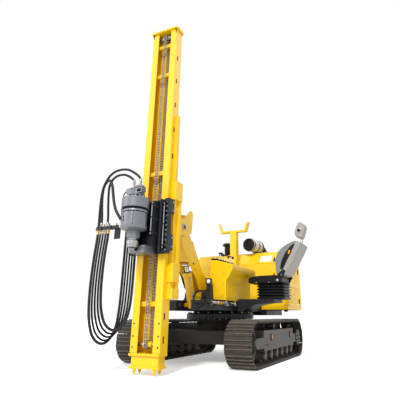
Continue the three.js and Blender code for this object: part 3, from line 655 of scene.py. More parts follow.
def grille_door():
    """A folded frame round two panels of perforated sheet, with hinges, a handle and screws."""
    shape = Shape(YELLOW)
    (x0, x1), (y0, y1), (z0, z1) = DOOR_X, DOOR_Y, DOOR_Z
    inner = (y0 + DOOR_RAIL, y1 - DOOR_RAIL)
    bar_low, bar_high = DOOR_MIDDLE - DOOR_RAIL / 2, DOOR_MIDDLE + DOOR_RAIL / 2
    for y in ((y0, inner[0]), (inner[1], y1)):
        shape.box((x0, x1), y, (z0, z1))
    for z in ((z0, z0 + DOOR_RAIL), (bar_low, bar_high), (z1 - DOOR_RAIL, z1)):
        shape.box((x0, x1), inner, z)
    perforated_sheet(shape, inner, (z0 + DOOR_RAIL, bar_low))
    perforated_sheet(shape, inner, (bar_high, z1 - DOOR_RAIL))
    for z in (z0 + 90, z1 - 90):
        shape.use(PLASTIC).turned("z", (x1 + 4, y1 - 6), [(9, z - 45), (9, z + 45)], 12)
        shape.box((x1, x1 + 4), (y1 - 40, y1 - 4), (z - 38, z + 38))
    shape.box((x1, x1 + 10), (y0 + 8, y0 + 32), (DOOR_MIDDLE - 55, DOOR_MIDDLE + 55))
    screws = grid((y0 + 20, y1 - 20, (y0 + y1) / 2), (z0 + 20, z1 - 20))
    shape.use(STEEL).bolts("x", screws, x1, x1 + 5, 7)
    piece("grille_door_sheet", shape, "grille_door", 0, replaces=["grille_door"])


# ---------------------------------------------------------------- console
LEVER_X = 250
LEVER_LEANS = [(-4, 2, 30), (3, -3, -22), (-2, 4, 4), (5, 0, -30), (0, -4, 8), (4, 3, -6)]
GAITER = [(34, 1450), (34, 1456), (26, 1460), (29, 1466), (20, 1470), (23, 1476), (14, 1481), (15, 1487),
          (7, 1492)]
ROUND_KNOB = [(8, -6), (14, 2), (18, 14), (18, 26), (12, 36), (4, 39)]
BAR_KNOB = [(6, -32), (10, -28), (11, 0), (10, 28), (6, 32)]
GAUGE_TILT = (0.965, 0.261)


def control_levers():
    """Levers in folded gaiters on a plate, their knobs leaning a little to each side."""
    shape = Shape(PLASTIC)
    shape.box((210, 290), (-560, -20), (1443.5, 1452))
    for i, (dx, dy, dz) in enumerate(LEVER_LEANS):
        y = -520 + 92 * i
        top = 1560 + dz * 0.5
        tip_x, tip_y = LEVER_X + 2 * dx, y + 2 * dy
        shape.use(BELLOWS).turned("z", (LEVER_X, y), GAITER, 20)
        rod = [(LEVER_X, y, 1486), (LEVER_X + dx, y + dy, (1486 + top) / 2), (tip_x, tip_y, top)]
        shape.use(CHROME).tube(rod, 5.5)
        shape.use(PLASTIC)
        if i % 2:
            shape.turned("z", (tip_x, tip_y), [(r, top + h) for r, h in ROUND_KNOB], 18)
        else:
            shape.turned("x", (tip_y, top + 14), [(r, tip_x + x) for r, x in BAR_KNOB], 14)
    piece("control_levers", shape, "upper", 1, replaces=["lever_bank"])


def gauge(trim, y):
    """A round gauge on the console's sloping face."""
    start = len(trim.points)
    trim.use(PLASTIC).turned("z", (0, 0), [(30, 0), (34, 3), (34, 8), (28, 9)], 28)
    trim.use(WHITE).turned("z", (0, 0), [(26, 7), (26, 9.4)], 28)
    c, s = GAUGE_TILT
    trim.move(start, lambda p: (435 + p.x * c + p.z * s, y + p.y, 1406 - p.x * s + p.z * c))


def console_trim():
    """A switch on its block, the front and side covers with their screws, and the gauges."""
    trim = Shape(PLASTIC)
    trim.box((212, 296), (-770, -670), (1443.3, 1474))
    trim.use(STEEL).turned("z", (250, -722), [(20, 1474), (20, 1480), (14, 1483)], 24)
    trim.use(PALE).turned("z", (250, -722), [(13, 1483), (13, 1489), (9, 1492)], 20)
    for y in ((-740, -420), (-380, 160)):
        trim.use(YELLOW).box((466, 470), y, (900, 1110))
    trim.box((225, 440), (-794, -789), (900, 1260))
    trim.use(STEEL).bolts("x", grid((-720, -440, -360, 140), (920, 1090)), 470, 476, 7)
    trim.bolts("y", grid((245, 420), (920, 1080, 1240)), -794, -800, 7)
    for y in (-600, -420, -240):
        gauge(trim, y)
    piece("console_trim", trim, "upper", 1)


# ---------------------------------------------------------------- work lamp
LAMP_X, LAMP_Z = 235, 1125
LAMP_BODY = [(20, -850.5), (30, -853), (40, -866), (44.5, -884), (44.5, -906), (42, -909), (30, -909),
             (28, -902), (10, -902)]
LAMP_GLASS = [(29, -901.5), (28.5, -904), (16, -906.5), (4, -907)]


def lamp_rings(profile):
    """Rounded squares of a half width each, at their places along y."""
    corners = [rounded_square(i, 32, 5) for i in range(32)]
    return [[(LAMP_X + half * u, y, LAMP_Z + half * v) for u, v in corners] for half, y in profile]


def work_lamp():
    shape = Shape(PLASTIC).loft(lamp_rings(LAMP_BODY))
    shape.use(LENS).loft(lamp_rings(LAMP_GLASS))
    shape.use(STEEL).turned("z", (LAMP_X, -880), [(8, 1078), (8, 1084)], 16)
    for k in range(5):
        x = LAMP_X - 34 + 15 * k
        shape.use(PLASTIC).box((x, x + 4), (-862, -851), (1095, 1155))
    piece("work_lamp_body", shape, "upper", 1, replaces=["work_lamp"])
    rods = Shape(BLACK)
    rods.tube([(212, -905, 1076), (216, -870, 980), (222, -815, 862)], 7)
    rods.tube([(262, -905, 1076), (262, -868, 980), (262, -812, 862)], 7)
    rods.use(STEEL).bolt("z", (LAMP_X, -880), 1079, 1088, 9)
    piece("lamp_stay", rods, "upper", 0)


# ---------------------------------------------------------------- air filter
FILTER_Z = 1950
FILTER_AT = (200, 830)
FILTER_TURN = math.radians(10)
FILTER_COVER = [(70, 0), (112, 2), (120, 8), (120, 26), (125, 32)]
FILTER_SHELL = [(118, 32), (124, 38), (124, 96), (119, 100), (119, 190), (124, 194), (124, 286), (119, 290),
                (119, 392), (124, 396), (124, 420), (98, 444)]
FILTER_FOOT = [(-45, ROOF), (45, ROOF), (45, 1812), (30, 1816), (56, 1852), (-56, 1852),
               (-30, 1816), (-45, 1812)]
FILTER_DUCT = [(0, 440, 1950), (0, 500, 1950), (20, 560, 1935), (36, 590, 1880), (40, 596, 1801)]
CAP_AT = (-340, 1100)
CAP_PROFILE = [(80, ROOF), (80, 1810), (75, 1812), (75, 1888), (79, 1892), (79, 1906), (75, 1910), (75, 1980),
               (96, 1990), (112, 2000), (112, 2028), (104, 2034), (80, 2050), (20, 2055)]


def filter_canister(shape):
    def ring(finish, profile, sides=56):
        shape.use(finish).turned("y", (0, FILTER_Z), profile, sides)

    ring(PLASTIC, FILTER_COVER)
    ring(PALE, FILTER_SHELL)
    for s in (60, 236, 380):
        ring(PLASTIC, [(125, s), (127, s + 2), (127, s + 26), (125, s + 28)])
        shape.box((100, 128), (s - 2, s + 30), (FILTER_Z - 24, FILTER_Z + 24))
    for centre in circle(100, 24, centre=(0, FILTER_Z)):
        shape.turned("y", centre, [(5, -1), (5, 4)], 8)
    ring(PLASTIC, [(40, -2), (44, 0), (44, 4)], 32)
    ring(PLASTIC, [(76, 430), (76, 448), (70, 450)], 32)


def filter_mounting(shape):
    """Two feet on the roof, and the outlet duct, clamped to the canister and bent down into the hood."""
    for s in (250, 400):
        shape.use(BLACK).prism("y", FILTER_FOOT, s, s + 40)
        shape.use(STEEL).bolts("z", [(-38, s + 20), (38, s + 20)], 1812, 1819, 6)
    shape.use(PLASTIC).tube(smooth_path(FILTER_DUCT, 18), 46, 24)
    shape.use(BRASS).turned("y", (0, FILTER_Z), [(48, 462), (50, 464), (50, 474), (48, 476)], 28)


def air_filter():
    shape = Shape(PLASTIC)
    filter_canister(shape)
    filter_mounting(shape)
    c, s = math.cos(FILTER_TURN), math.sin(FILTER_TURN)
    shape.move(0, lambda p: (FILTER_AT[0] + c * p.x + s * p.y, FILTER_AT[1] - s * p.x + c * p.y, p.z))
    piece("air_filter_canister", shape, "upper", 1.2, replaces=["air_filter"])


def precleaner():
    cap = Shape(PLASTIC).turned("z", CAP_AT, CAP_PROFILE, 48)
    for centre in circle(110, 24, centre=CAP_AT):
        cap.turned("z", centre, [(4, 2002), (4, 2026)], 8)
    piece("precleaner_cap", cap, "upper", 1, replaces=["precleaner"])


lid_fittings()
hood_panels()
grille_door()
control_levers()
console_trim()
work_lamp()
air_filter()
precleaner()


# ---------------------------------------------------------------- seat
SEAT_Y = (-299, 179)
HINGE = (1165, 1234)
POSTS_Y = (-110, -10)
BACK_SHELL = [(1158, 1244), (1192, 1240), (1226, 1246), (1360, 1466), (1486, 1690), (1462, 1708),
              (1424, 1726), (1290, 1490)]
BACK_PAD = [(1080, 1256), (1110, 1242), (1165, 1246), (1290, 1478), (1430, 1712), (1412, 1738), (1386, 1742),
            (1252, 1688), (1124, 1590), (1072, 1456), (1070, 1340)]
BACK_SIDE = [(1150, 1330), (1182, 1316), (1226, 1372), (1392, 1664), (1376, 1690), (1322, 1650), (1240, 1560),
             (1172, 1430)]
HEADREST = [(1376, 1846), (1424, 1814), (1476, 1800), (1512, 1880), (1542, 1990), (1500, 2042), (1440, 2056),
            (1372, 1924)]
CUSHION = [(619, 1160), (634, 1128), (700, 1120), (1140, 1119), (1156, 1150), (1150, 1222), (1010, 1237),
           (800, 1235), (670, 1222), (626, 1200)]
RECLINER = [(1030, 1128), (1150, 1128), (1205, 1230), (1236, 1290), (1196, 1316), (1130, 1262), (1050, 1200)]
QUILT, QUILT_DEPTH = 58, 9


def swell(k, rows, power, least=0.0):
    """A place from -1 to 1 along a stuffed form, and the form's fullness there; rows crowd at the ends."""
    t = math.sin(math.pi * (k / rows - 0.5))
    return t, max(least, max(0.0, 1 - abs(t) ** power) ** (1 / power))


def seam(distance, width):
    return math.exp(-(distance / width) ** 2)


def sewn_panel(shape, x, y, z, grooves_x, grooves_y):
    """A crowned cloth panel, narrower at its ends, with sewn channels along and across its upper face."""
    rows, sides, power, crown, depth, width = 44, 56, 4.5, 3, 5, 7
    (mid_x, half_x), (mid_y, half_y), (mid_z, half_z) = [((a + b) / 2, (b - a) / 2) for a, b in (x, y, z)]
    rings = []
    for k in range(rows + 1):
        t, full = swell(k, rows, power, 0.02)
        at = mid_x + half_x * t
        narrow = 1 - 0.025 * t ** 6 - (1 - full) * 0.35
        ring = []
        for u, v in [rounded_square(i, sides, power) for i in range(sides)]:
            u *= narrow
            height = mid_z + half_z * v * full
            if v > 0:
                height += crown * (1 - u ** 2) * (1 - t ** 2) * full
                height -= sum(depth * seam(at - g, width) * min(1, 3 * (1 - abs(u))) * full
                              for g in grooves_x)
                height -= sum(depth * seam(mid_y + half_y * u - g, width) * min(1, 4 * (1 - abs(t)))
                              for g in grooves_y)
            ring.append((at, mid_y + half_y * u, height))
        rings.append(ring)
    shape.loft(rings)


def closed_curve(outline, count):
    """Evenly spaced points on a smooth closed curve through an (x, z) outline."""
    given = [Vector((x, 0, z)) for x, z in outline]
    loop = smooth_path([*given[-2:], *given, *given[:2]], 4)
    start = min(range(len(loop) // 2), key=lambda i: (loop[i] - given[0]).length)
    end = max(range(len(loop) // 2, len(loop)), key=lambda i: -(loop[i] - given[0]).length)
    ring = loop[start:end]
    return [ring[int(i * len(ring) / count)] for i in range(count)]


def side_pad(shape, outline, y, soft, power=5, count=120, rows=48, quilted=None):
    """A stuffed form drawn across the seat from a curved side outline, its edges rounded over.
    quilted(x, z) says where the outline is sewn in squares."""
    ring = closed_curve(outline, count)
    middle = sum(ring, Vector()) / count
    lengths = [0.0]
    for a, b in zip(ring, ring[1:]):
        lengths.append(lengths[-1] + (b - a).length)
    rings = []
    for k in range(rows + 1):
        t, full = swell(k, rows, power)
        at = (y[0] + y[1]) / 2 + (y[1] - y[0]) / 2 * t
        row = []
        for p, length in zip(ring, lengths):
            out = p - middle
            reach = out.length * (1 - soft * (1 - full))
            if quilted and quilted(p.x, p.z) and abs(t) < 0.97:
                for along_it in (length, at - y[0]):
                    reach -= QUILT_DEPTH * seam(along_it % QUILT - QUILT / 2, QUILT * 0.09)
            row.append((middle.x + out.x / out.length * reach, at, middle.z + out.z / out.length * reach))
        rings.append(row)
    shape.loft(rings)


def seat_cushion():
    shape = Shape(LEATHER)
    side_pad(shape, CUSHION, SEAT_Y, 0.1, 6)
    shape.use(CLOTH)
    sewn_panel(shape, (690, 1120), (-206, 86), (1190, 1240), (750, 810, 870, 930, 990, 1050), (-132, -60, 12))
    pad = piece("seat_cushion_pad", shape, "upper", 0, sharp=60, replaces=["seat_cushion"])
    piping = Shape(LEATHER)
    for y in (-300, 180):
        piping.tube(smooth_path([(640, y, 1150), (800, y, 1146), (1000, y, 1146), (1140, y, 1150)], 12), 3, 8)
    piece("seat_piping", piping, "upper", 0)


def pan_side(pan, y, out):
    """The recliner's side plate with its hinge cap and knob, a lap belt's buckle stalk and two screws."""

    def plate(finish, outline, near, far):
        pan.use(finish).prism("y", outline, y + out * near, y + out * far)

    def cap(finish, centre, profile, sides):
        pan.use(finish).turned("y", centre, [(r, y + out * h) for r, h in profile], sides)

    plate(PLASTIC, RECLINER, 0, 6)
    cap(PLASTIC, HINGE, [(44, 5), (44, 7), (36, 9), (10, 10)], 28)
    cap(STEEL, HINGE, [(9, 9), (9, 12), (5, 13)], 16)
    cap(PALE, (1100, 1160), [(16, 5), (16, 9), (10, 11)], 20)
    plate(PLASTIC, [(1020, 1190), (1048, 1184), (1078, 1262), (1052, 1274)], 6, 11)
    plate(ORANGE, [(1050, 1250), (1070, 1243), (1076, 1258), (1056, 1266)], 10, 12)
    pan.use(STEEL).bolts("y", [(760, 1134), (960, 1134)], y, y + out * 6, 7)


def seat_pan():
    pan = Shape(PLASTIC)
    pan.loft([[(x0, y0, z), (x1, y0, z), (x1, y1, z), (x0, y1, z)] for x0, x1, y0, y1, z in (
        (700, 1130, -262, 142, 1118.2), (650, 1150, -286, 166, 1128), (650, 1150, -286, 166, 1138))])
    pan_side(pan, SEAT_Y[0], -1)
    pan_side(pan, SEAT_Y[1], 1)
    piece("seat_pan", pan, "upper", 2)


def faces_sitter(x, z):
    return (z - 1240) * 0.52 + 1160 > x + 26


def seat_back():
    back = Shape(CLOTH)
    side_pad(back, BACK_PAD, (-294, 174), 0.13, count=170, rows=90, quilted=faces_sitter)
    back.use(LEATHER)
    for y in ((-303, -276), (156, 183)):
        side_pad(back, BACK_SIDE, y, 0.3, 3, count=64, rows=12)
    pad = piece("seat_back_pad", back, "upper", 0, sharp=60, replaces=["seat_back"])
    shell = Shape(SHELL)
    side_pad(shell, BACK_SHELL, (-300, 180), 0.1, 7, count=72, rows=32)
    for z in (1330, 1450, 1570):
        x = 1226 + (z - 1246) * 0.588
        shell.use(PLASTIC).tube([(x - 6, -150, z), (x - 4, 30, z)], 7)
    piece("seat_back_shell", shell, "upper", 0, sharp=60)
    trim = Shape(ORANGE)
    for y in ((-306, -302), (182, 186)):
        trim.prism("y", [(1296, 1590), (1326, 1606), (1312, 1550), (1284, 1534)], *y)
    for y in POSTS_Y:
        trim.use(PLASTIC).turned("z", (1440, y), [(13, 1716), (13, 1730), (10, 1734)], 16)
    piece("seat_back_trim", trim, "upper", 0.8)


def headrest():
    rest = Shape(SHELL)
    side_pad(rest, HEADREST, (-147, 27), 0.22, 4, count=96, rows=40)
    pad = piece("headrest_pad", rest, "upper", 0, sharp=60, replaces=["headrest"])
    posts = Shape(PALE)
    for y in POSTS_Y:
        posts.tube([(1440, y, 1712), (1452, y, 1770), (1468, y, 1850)], 7, 12)
    ring = [(40, -146), (40, -151), (34, -153), (30, -150), (30, -146)]
    posts.use(STEEL).turned("y", (1440, 1925), ring, 32)
    posts.use(SHADE).turned("y", (1440, 1925), [(22, -147), (22, -152), (18, -153)], 28)
    piece("headrest_posts", posts, "upper", 0.6)


BELLOWS_CORNERS = ((1190, 160, -1, -1, 0), (740, 160, 1, -1, 90), (740, -280, 1, 1, 180),
                   (1190, -280, -1, 1, 270))
BELLOWS_Z = (887.4, 1117.5)
FOLDS = 5
FOLD = ((1, 0.2), (0, 0.3), (2, 0.4), (26, 0.75), (28, 0.82), (24, 0.9))


def bellows_ring(inset, z):
    """A square with round corners, some way in from the bellows' outer edge."""
    reach = inset + 46
    corners = [arc((x + sx * reach, y + sy * reach), 46, a, a + 90, 5) for x, y, sx, sy, a in BELLOWS_CORNERS]
    return [(x, y, z) for corner in corners for x, y in corner]


def seat_bellows():
    low, high = BELLOWS_Z
    step = (high - low - 20) / FOLDS
    places = [(20, low), (6, low + 6)]
    places += [(inset, low + 10 + (i + share) * step) for i in range(FOLDS) for inset, share in FOLD]
    places += [(6, high - 6), (18, high)]
    shape = Shape(BELLOWS).loft([bellows_ring(inset, z) for inset, z in places])
    piece("seat_bellows", shape, "upper", 0, sharp=70, replaces=["seat_base"])


seat_cushion()
seat_pan()
seat_back()
headrest()
seat_bellows()


# ---------------------------------------------------------------- boom and its rams
BOOM_BASE = (-810, 930)
BOOM_HEAD = (-1505, 1820)
LIFT_EYE = (-1161, 1354)
TILT_BASE = (-600, 1060)


def pin_caps(name, body, centre, half, radius, finish=STEEL):
    """A cap on each end of a pin, with a boss and three screws; half is the pin's half length."""
    shape = Shape(finish)
    for out in (1, -1):
        face = out * half
        shape.use(finish).turned("x", centre, [(radius, face), (radius, face + out * 7),
                                               (radius * 0.8, face + out * 9)], 32)
        shape.use(BLACK).turned("x", centre, [(radius * 0.5, face + out * 8), (radius * 0.5, face + out * 13),
                                              (radius * 0.4, face + out * 14)], 24)
        screws = circle(radius * 0.7, 3, math.radians(90), centre)
        shape.use(finish).bolts("x", screws, face + out * 8, face + out * 15, radius * 0.12)
    piece(name, shape, body, 0.8)


def along(base, tip, distance, off=0.0):
    """A (y, z) point a distance from base toward tip, and off to its side."""
    dy, dz = tip[0] - base[0], tip[1] - base[1]
    length = math.hypot(dy, dz)
    dy, dz = dy / length, dz / length
    return (base[0] + dy * distance - dz * off, base[1] + dz * distance + dy * off)


def ram_fittings(name, barrel_body, base, tip, radius, length, start):
    """A ram's gland, its base ring, its hard pipe and ports, round the CAD barrel."""
    shape = Shape(YELLOW)
    side = radius + 12

    def collar(finish, profile):
        shape.use(finish).loft([[(u, *along(base, tip, d, v)) for u, v in circle(r, 36)] for r, d in profile])

    def beside(out, distance, off):
        return (side * out, *along(base, tip, distance, radius * off))

    collar(YELLOW, [(radius + 0.5, length - 66), (radius + 7, length - 62), (radius + 7, length - 8),
                    (radius + 3, length - 2)])
    collar(BLACK, [(radius - 8, length - 3), (radius - 6, length + 8), (radius * 0.62, length + 10)])
    collar(YELLOW, [(radius + 0.4, start), (radius + 5, start + 4), (radius + 5, start + 18),
                    (radius + 0.4, start + 22)])
    pipe = [beside(0.7, start + 40, 0.6), beside(0.8, start + 60, 0.75), beside(0.8, length - 100, 0.75),
            beside(0.6, length - 70, 0.6)]
    shape.use(STEEL).tube(smooth_path(pipe, 20), 7)
    for d in (start + 150, length - 180):
        shape.use(YELLOW).tube([beside(0.55, d, 0.6), beside(0.95, d, 0.9)], 10, 8)
    piece(name, shape, barrel_body, 0.8)


pin_caps("boom_base_pin_caps", "upper", BOOM_BASE, 165, 48)
pin_caps("boom_head_pin_caps", "cradle", BOOM_HEAD, 147, 50)
pin_caps("lift_eye_pin_caps", "boom", LIFT_EYE, 112, 30, YELLOW)
pin_caps("tilt_base_pin_caps", "boom", TILT_BASE, 112, 32, YELLOW)
ram_fittings("lift_ram_fittings", "lift_barrel", (-960, 800), LIFT_EYE, 62.5, 470, 70)
ram_fittings("tilt_ram_fittings", "tilt_barrel", TILT_BASE, (-1330, 1980), 50, 780, 60)


# ---------------------------------------------------------------- mast
MAST_FRONT = -2050.2
MAST_SIDE = 210
CHAIN_Y = -1985
CHAIN_LOW, CHAIN_HIGH = 330, 4740
CHAIN_RADIUS = 54
CHAIN_LINKS = 236
FEED_RAM_AT = (80, -1940)


def mast_trim():
    """Bolt heads down the front flanges, dark slots in the sides and gussets under the top."""
    shape = Shape(YELLOW)
    for x in (-178, 178):
        shape.use(BLACK).bolts("y", grid((x,), (300, 420, 560)), MAST_FRONT, -2056, 8)
        shape.use(YELLOW).bolts("y", grid((x * 0.93,), range(700, 4700, 400)), MAST_FRONT, -2053.5, 7)
    for side, z in grid((-1, 1), (380, 640, 2700, 3100, 3500, 3900, 4300)):
        slot = [(-2000, z - 34), (-1988, z - 40), (-1976, z - 34), (-1976, z + 34), (-1988, z + 40),
                (-2000, z + 34)]
        shape.use(SHADE).prism("x", slot, side * (MAST_SIDE - 1), side * (MAST_SIDE + 0.8))
    for x in (-200, 200):
        shape.prism("x", [(-2069, 4819), (-1872, 4819), (-1888, 4790), (-2050, 4740)], x - 5, x + 5)
    piece("mast_trim", shape, "mast", 1.2)


def mast_foot_trim():
    """Four stepped feet under the foot plate, with the plate's front and side strips and its bolts."""
    foot = Shape(YELLOW)
    for centre in grid((-140, 140), (-2035, -1925)):
        foot.turned("z", centre, [(25, 76), (25, 62), (21, 58), (21, 40), (15, 30), (4, 12.5)], 24)
    foot.box((-212, 212), (-2068, -2064), (211, 234))
    for x in (-202, 202):
        foot.prism("x", [(-2060, 208), (-1893, 208), (-1893, 200), (-2052, 200)], x - 5, x + 5)
    foot.use(BLACK).bolts("z", grid((-196, -90, 90, 196), (-2057,)), 235.2, 243, 6)
    piece("mast_foot_trim", foot, "mast", 1.5)


def mast_top_trim():
    top = Shape(YELLOW)
    top.use(STEEL).bolts("z", grid((-150, -50, 50, 150), (-2045,)), 4850, 4860, 10)
    top.use(YELLOW).box((-200, 200), (-2078, -2069), (4822, 4848))
    piece("mast_top_trim", top, "mast", 1.2)


def chain_point(distance):
    """A (y, z) point on the chain's loop, which climbs the front and comes down behind."""
    middle, half = (CHAIN_LOW + CHAIN_HIGH) / 2, (CHAIN_HIGH - CHAIN_LOW) / 2
    point = oval(distance, half, CHAIN_RADIUS)[0]
    return Vector((CHAIN_Y - point.y, middle - point.x))


def chain_sprocket(shape, z, hub):
    shape.use(STEEL)
    for x in ((-16, -7), (7, 16)):
        shape.prism("x", toothed(16, 46, 54, 0.3, 0.12, (CHAIN_Y, z)), *x)
    shape.use(hub).turned("x", (CHAIN_Y, z), [(30, -60), (34, -56), (34, 56), (30, 60)], 24)
    shape.use(STEEL).turned("x", (CHAIN_Y, z), [(21.5, -197), (21.5, 197)], 24)


def feed_chain():
    """A double strand of rollers between oval side plates, running round the two sprockets."""
    shape = Shape(CHAIN)
    pitch = 2 * (CHAIN_HIGH - CHAIN_LOW + math.pi * CHAIN_RADIUS) / CHAIN_LINKS
    inner, outer = ((-21, -18), (-5, -2), (2, 5), (18, 21)), ((-24, -21), (-2, 2), (21, 24))
    for i in range(CHAIN_LINKS):
        a, b = chain_point(i * pitch), chain_point((i + 1) * pitch)
        forward = (b - a).normalized()
        side = Vector((-forward.y, forward.x))
        plate = []
        for end, start in ((b, 90), (a, -90)):
            for u, v in arc((0, 0), 1, start, start - 180, 4):
                plate.append(tuple(end + forward * 5 * u + side * 5.8 * v))
        for x in outer if i % 2 else inner:
            shape.use(CHAIN).prism("x", plate, *x)
        shape.use(SHADE).turned("x", a, [(5, -18), (5, 18)], 8)
    chain_sprocket(shape, CHAIN_LOW, YELLOW)
    chain_sprocket(shape, CHAIN_HIGH, STEEL)
    piece("feed_chain_links", shape, "mast", 0, replaces=["feed_chain"])


def feed_ram():
    shape = Shape(YELLOW)
    for finish, profile, sides in (
        (YELLOW, [(20, 2702), (24.6, 2706), (24.6, 3380), (20, 3386)], 28),
        (CHROME, [(14, 3380), (14, 4470)], 24),
        (STEEL, [(22, 4440), (24, 4446), (24, 4494), (18, 4500)], 24),
        (BLACK, [(24.8, 3340), (24.8, 3378)], 28),
    ):
        shape.use(finish).turned("z", FEED_RAM_AT, profile, sides)
    piece("feed_ram_detail", shape, "mast", 0.6, replaces=["feed_cylinder"])


mast_trim()
mast_foot_trim()
mast_top_trim()
feed_chain()
feed_ram()


# ---------------------------------------------------------------- carriage
PLATE_FRONT = -2120.3
PLATE_Z = 1372
GUIDE_Z = 1396


def carriage_ribs(shape):
    """Upright ribs and angle bars down the plate, crossed by short bars, with two rows of bolts."""
    for x, wide, out, z0, z1 in (
        (-262, 10, 34, PLATE_Z, 2036), (-232, 8, 26, 1380, 2030), (-196, 26, 58, PLATE_Z, 2040),
        (-128, 10, 40, PLATE_Z, 1610), (128, 10, 40, PLATE_Z, 1610), (196, 26, 58, PLATE_Z, 2040),
        (228, 8, 30, 1380, 2030), (278, 7, 22, PLATE_Z, 2036),
    ):
        shape.box((x - wide / 2, x + wide / 2), (PLATE_FRONT - out, PLATE_FRONT), (z0, z1))
    for z in (PLATE_Z, 1592, 1802, 2012):
        for x in ((-280, -205), (205, 280)):
            shape.box(x, (PLATE_FRONT - 18, PLATE_FRONT), (z, z + 24))
    places = grid((258, -248), range(1400, 2011, 61))
    shape.use(STEEL).bolts("y", places, PLATE_FRONT, PLATE_FRONT - 15, 10)


def carriage_pipes(shape):
    """Hard pipes standing on the plate, with their unions and brackets."""
    for finish, x, y, r, z0, z1 in (
        (STEEL, -164, -2205, 9, 1440, 1990), (STEEL, -142, -2190, 7, 1400, 2010),
        (STEEL, 236, -2160, 8, 1420, 1990), (CARRIAGE_BLACK, -214, -2196, 11, 1500, 2030),
        (STEEL, 172, -2330, 8, 1560, 1960),
    ):
        shape.use(finish).turned("z", (x, y), [(r, z0), (r, z1)], 14)
        shape.use(CARRIAGE_BLACK)
        for z in (z0 + 20, (z0 + z1) / 2, z1 - 40):
            shape.turned("z", (x, y), [(r + 5, z), (r + 5, z + 20)], 6)
            shape.box((x - 4, x + 4), (y, PLATE_FRONT), (z + 4, z + 16))


def rub_blocks(shape):
    """Rub blocks in the clips' mouths and their adjusting screws."""
    for (z0, z1), side in grid(((1410, 1600), (1870, 2060)), (-1, 1)):
        shape.use(FRAME_GREY).box((side * 212, side * 240), (-2058, -2004), (z0 + 8, z1 - 8))
        shape.use(STEEL).bolts("x", [(-2030, z0 + 40), (-2030, z1 - 40)], side * 285, side * 296, 9)


def carriage_details():
    shape = Shape(CARRIAGE_BLACK)
    carriage_ribs(shape)
    carriage_pipes(shape)
    rub_blocks(shape)
    piece("carriage_details", shape, "carriage", 1.2)


def guide_block_trim():
    """A bushed hole and four bolts in the guide block's face."""
    block = Shape(HEAD)
    block.use(SHADE).turned("y", (0, GUIDE_Z), [(26, -2345.2), (26, -2346.4)], 28)
    block.use(HEAD).turned("y", (0, GUIDE_Z), [(34, -2345.1), (34, -2351), (30, -2353), (26.5, -2353),
                                               (26.5, -2346)], 32)
    block.use(STEEL).bolts("y", grid((-86, 86), (1368, 1422)), -2345, -2354, 8)
    piece("guide_block_trim", block, "carriage", 0.8)


# ---------------------------------------------------------------- drilling head
HEAD_AXIS = (0, -2430)
HEAD_Y = HEAD_AXIS[1]
LOW_MOTOR, HIGH_MOTOR = (-40, HEAD_Y), (40, HEAD_Y + 6)
PORT = (-174, -2459)
UPPER_DRUM = [(140, 1863), (160, 1864), (165, 1870), (165, 1984), (160, 1991), (112, 1992)]
LOWER_DRUM = [(132, 1839.5), (150, 1838), (154, 1832), (154, 1816), (149, 1812), (149, 1806), (150, 1804),
              (150, 1650), (155, 1646), (155, 1622), (148, 1612), (120, 1606), (86, 1600), (60, 1600)]
SPINDLE = [(48, 1560), (50, 1556), (50, 1486), (56, 1480), (70, 1474), (70, 1440), (66, 1436), (66, 1428),
           (60, 1420), (60, 1404), (56, 1400), (34, 1400), (34, 1430)]


def around_head(radius, count, turn=0.0):
    """Places round the head's axis; turn is in parts of the space between two of them."""
    return circle(radius, count, 2 * math.pi * turn / count, HEAD_AXIS)


def upper_drum(upper):
    """The drum with its neck, the cap's flange on eight pillars, and their bolts."""
    upper.turned("z", HEAD_AXIS, UPPER_DRUM, 72)
    upper.use(SHADE).turned("z", HEAD_AXIS, [(150, 1840), (150, 1866)], 60)
    upper.turned("z", HEAD_AXIS, [(100, 1980), (70, 1990), (70, 2034), (96, 2036)], 40)
    for pillar, dimple in zip(around_head(88, 8, 0.5), around_head(118, 8, 0.5)):
        upper.use(HEAD).turned("z", pillar, [(13, 1985), (13, 2036)], 16)
        upper.use(SHADE).turned("z", dimple, [(12, 1991), (12, 1993)], 16)
    flange = [(98, 2024), (105, 2028), (105, 2042), (100, 2046), (60, 2046)]
    upper.use(HEAD).turned("z", HEAD_AXIS, flange, 56)
    upper.use(STEEL).bolts("z", around_head(146, 20), 1991, 2004, 9)
    upper.bolts("z", around_head(96, 10, 0.5), 2045, 2053, 6)


def motors(upper):
    """The two motors on the cap, with their valve blocks, hose stubs and side ports."""
    upper.use(HEAD).turned("z", LOW_MOTOR, [(64, 2030), (68, 2034), (68, 2092), (64, 2096), (64, 2102),
                                            (68, 2106), (68, 2124), (60, 2130), (24, 2131)], 48)
    upper.turned("z", HIGH_MOTOR, [(62, 2030), (64, 2034), (64, 2120), (74, 2124), (74, 2140), (68, 2144),
                                   (56, 2146), (50, 2160), (20, 2160)], 48)
    upper.use(STEEL).bolts("z", circle(66, 8, centre=HIGH_MOTOR), 2140, 2149, 6)
    upper.use(HEAD).box((-104, -30), (-2500, -2440), (2050, 2116))
    upper.box((40, 120), (-2492, -2420), (2050, 2112))
    upper.use(SHADE).box((52, 108), (-2494, -2491), (2062, 2100))
    for x in (-50, 50):
        upper.use(STEEL).turned("z", (x, HEAD_Y), [(22, 2128), (22, 2170), (17, 2172), (17, 2190)], 24)
        upper.turned("z", (x, HEAD_Y), [(21, 2174), (21, 2184)], 6)
    for z in (2072, 2100):
        upper.use(STEEL).turned("x", (-2450, z), [(13, 118), (13, 134), (9, 136), (9, 150)], 16)
        upper.use(BLACK).turned("x", (-2450, z), [(12, 134), (12, 146)], 6)


